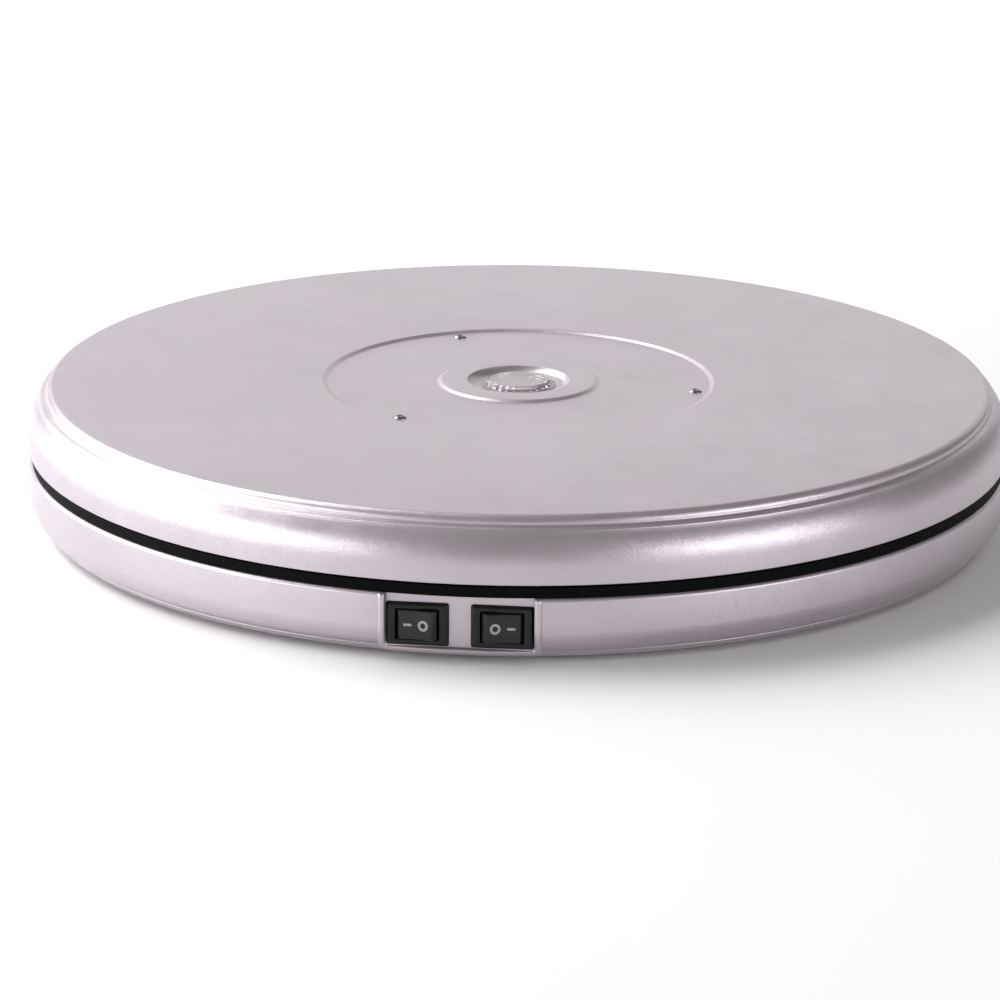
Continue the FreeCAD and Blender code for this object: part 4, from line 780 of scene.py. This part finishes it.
def make_rocker(side, sign):
    profile = [(-6.9, -1.2), (-5.6, -3.1), (0.0, -2.5), (5.6, -3.1), (6.9, -1.2), (6.3, 3.2), (-6.3, 3.2)]
    mesh = bmesh.new()
    loft(mesh, [[(x, y, z) for x, y in profile] for z in (-5.0, 5.0)])
    rocker = shaped(f"rocker_{side}", mesh)
    soften(rocker, 0.3, 4)
    pin = bmesh.new()
    lathe(pin, [(0.0, -5.95), (1.0, -5.95), (1.0, 5.95), (0.0, 5.95)], SMALL_RING)
    join(rocker, shaped("pin", pin))
    signs = bmesh.new()
    middle = 2.6 * -sign
    turns = [2 * math.pi * k / 48 for k in range(48)]
    rings = [[(middle + r * math.cos(t), 1.06 * r * math.sin(t)) for t in turns] for r in (0.95, 1.75)]
    mark(signs, rings[0], rings[1])
    bar = rounded_rectangle(2.7, 0.85, 0.2, 3)
    mark(signs, None, [(2.7 * sign + p.x, p.y) for p in bar])
    marks = shaped(f"rocker_{side}_marks", signs, 20.0)
    pivot = Matrix.Translation(Vector((sign * SWITCH_X, -BEZEL_FACE + PIVOT_DEPTH, SWITCH_Z)) * METRES)
    for shape in (rocker, marks):
        shape.data.transform(pivot @ Matrix.Rotation(math.radians(sign * TILT), 4, "Z"))
    piece(marks, f"{side}_rocker", "printed")
    return piece(rocker, f"{side}_rocker", "rocker_black", f"rocker_{side}")


def make_inlet():
    """Figure-8 mains inlet with its two pins."""
    steps = [
        (22.0, 11.4, 0.8, INLET_FACE - 16.8),
        (22.0, 11.4, 0.8, INLET_PLANE),
        (27.0, 14.0, 2.2, INLET_PLANE),
        (27.0, 14.0, 2.2, INLET_FACE - 0.5),
        (26.7, 13.7, 2.1, INLET_FACE - 0.15),
        (26.2, 13.2, 1.9, INLET_FACE),
    ]
    mesh = bmesh.new()
    loft(mesh, [facing(rounded_rectangle(w, h, c), depth, 0.0, INLET_Z) for w, h, c, depth in steps])
    housing = shaped("inlet_housing", mesh)
    mouth = bmesh.new()
    turns = [math.pi * k / 16 for k in range(-8, 9)]
    right = [Vector((3.7 + 3.9 * math.cos(t), 3.9 * math.sin(t))) for t in turns]
    left = [Vector((-p.x, -p.y)) for p in right]
    depths = (INLET_FACE - 11.0, INLET_FACE + 1)
    loft(mouth, [facing(right + left, depth, 0.0, INLET_Z) for depth in depths])
    combine(housing, shaped("mouth", mouth), "DIFFERENCE")
    pins = bmesh.new()
    turns = [2 * math.pi * k / SMALL_RING for k in range(SMALL_RING)]
    tip = ((PIN_RADIUS, 150.4), (PIN_RADIUS, PIN_END - 0.5), (0.9, PIN_END - 0.15), (0.5, PIN_END))
    for x in (-PIN_X, PIN_X):
        loops = []
        for radius, depth in tip:
            ring = [Vector((radius * math.cos(t), radius * math.sin(t))) for t in turns]
            loops.append(facing(ring, depth, x, INLET_Z))
        loft(pins, loops)
    piece(shaped("inlet_pins", pins), "base", "brass", "inlet_pins")
    return piece(housing, "base", "switch_black", "inlet_housing")


# ---------------------------------------------------------------- inner pieces that keep their CAD shape


def finish_kept_nodes():
    """Give each CAD node that still shows the finish of its slot in the record."""
    for entry in frame["record"]["subparts"]:
        node = frame["nodes"][entry["node"]]
        if node.hide_render:
            continue
        node.data.materials.clear()
        node.data.materials.append(FINISHES[entry["material_slot"]])
        smooth(node, 30.0)


# ---------------------------------------------------------------- studio


def make_camera():
    """Long lens that looks down at the front of the turntable."""
    azimuth = math.radians(CAMERA_AZIMUTH)
    elevation = math.radians(CAMERA_ELEVATION)
    level = math.cos(elevation)
    back = Vector((math.sin(azimuth) * level, -math.cos(azimuth) * level, math.sin(elevation)))
    forward = -back
    right = forward.cross(Vector((0, 0, 1))).normalized()
    up = right.cross(forward)
    for angle, axis in ((CAMERA_PAN, up), (CAMERA_TILT, right), (CAMERA_ROLL, forward)):
        turn = Matrix.Rotation(math.radians(angle), 3, axis)
        forward = turn @ forward
        right = turn @ right
        up = turn @ up
    data = bpy.data.cameras.new("camera")
    data.sensor_width = 36.0
    data.lens = CAMERA_LENS
    camera = bpy.data.objects.new("camera", data)
    place = Matrix.Translation(Vector((0, 0, CAMERA_HEIGHT)) + back * CAMERA_DISTANCE)
    camera.matrix_world = place @ Matrix((right, up, -forward)).transposed().to_4x4()
    bpy.context.scene.collection.objects.link(camera)
    bpy.context.scene.camera = camera


def make_floor():
    mesh = bmesh.new()
    bmesh.ops.create_grid(mesh, x_segments=8, y_segments=8, size=6000.0)
    floor = shaped("floor", mesh)
    finish = Finish("floor", 0.8)
    finish.tone(finish.noise(3.0), (0.88, 0.88, 0.88), (0.9, 0.9, 0.9))
    floor.data.materials.append(finish.material)


def softbox(name, azimuth, height, distance, size, power):
    """Area light at an azimuth in degrees (0 in front, 90 on the right) that looks at the turntable."""
    data = bpy.data.lights.new(name, "AREA")
    data.shape = "RECTANGLE"
    data.size, data.size_y = size
    data.energy = power
    light = bpy.data.objects.new(name, data)
    turn = math.radians(azimuth)
    light.location = (distance * math.sin(turn), -distance * math.cos(turn), height)
    aim = Vector((0.0, 0.0, 0.03)) - light.location
    light.rotation_euler = aim.to_track_quat("-Z", "Y").to_euler()
    bpy.context.scene.collection.objects.link(light)


def make_world():
    world = bpy.data.worlds.new("studio")
    world.use_nodes = True
    background = world.node_tree.nodes["Background"]
    background.inputs["Color"].default_value = (1.0, 0.985, 0.99, 1)
    background.inputs["Strength"].default_value = 0.22
    bpy.context.scene.world = world


def make_studio():
    bpy.context.scene.view_settings.view_transform = "Standard"
    make_camera()
    make_floor()
    make_world()
    softbox("overhead", 250.0, 1.9, 1.9, (2.4, 2.0), 92.0)
    softbox("left", -76.0, 0.32, 1.7, (3.6, 0.64), 38.0)
    softbox("right", 58.0, 0.36, 1.9, (1.4, 0.7), 13.0)
    softbox("rear", 182.0, 0.9, 2.6, (3.4, 1.5), 13.0)


make_platter()
make_lens()
make_platter_screws()
make_base_shell()
make_bottom_cover()
make_feet()
make_cover_screws()
make_dust_ring()
make_housing("left", -SWITCH_X)
make_housing("right", SWITCH_X)
make_rocker("left", -1)
make_rocker("right", 1)
make_inlet()
finish_kept_nodes()
make_studio()
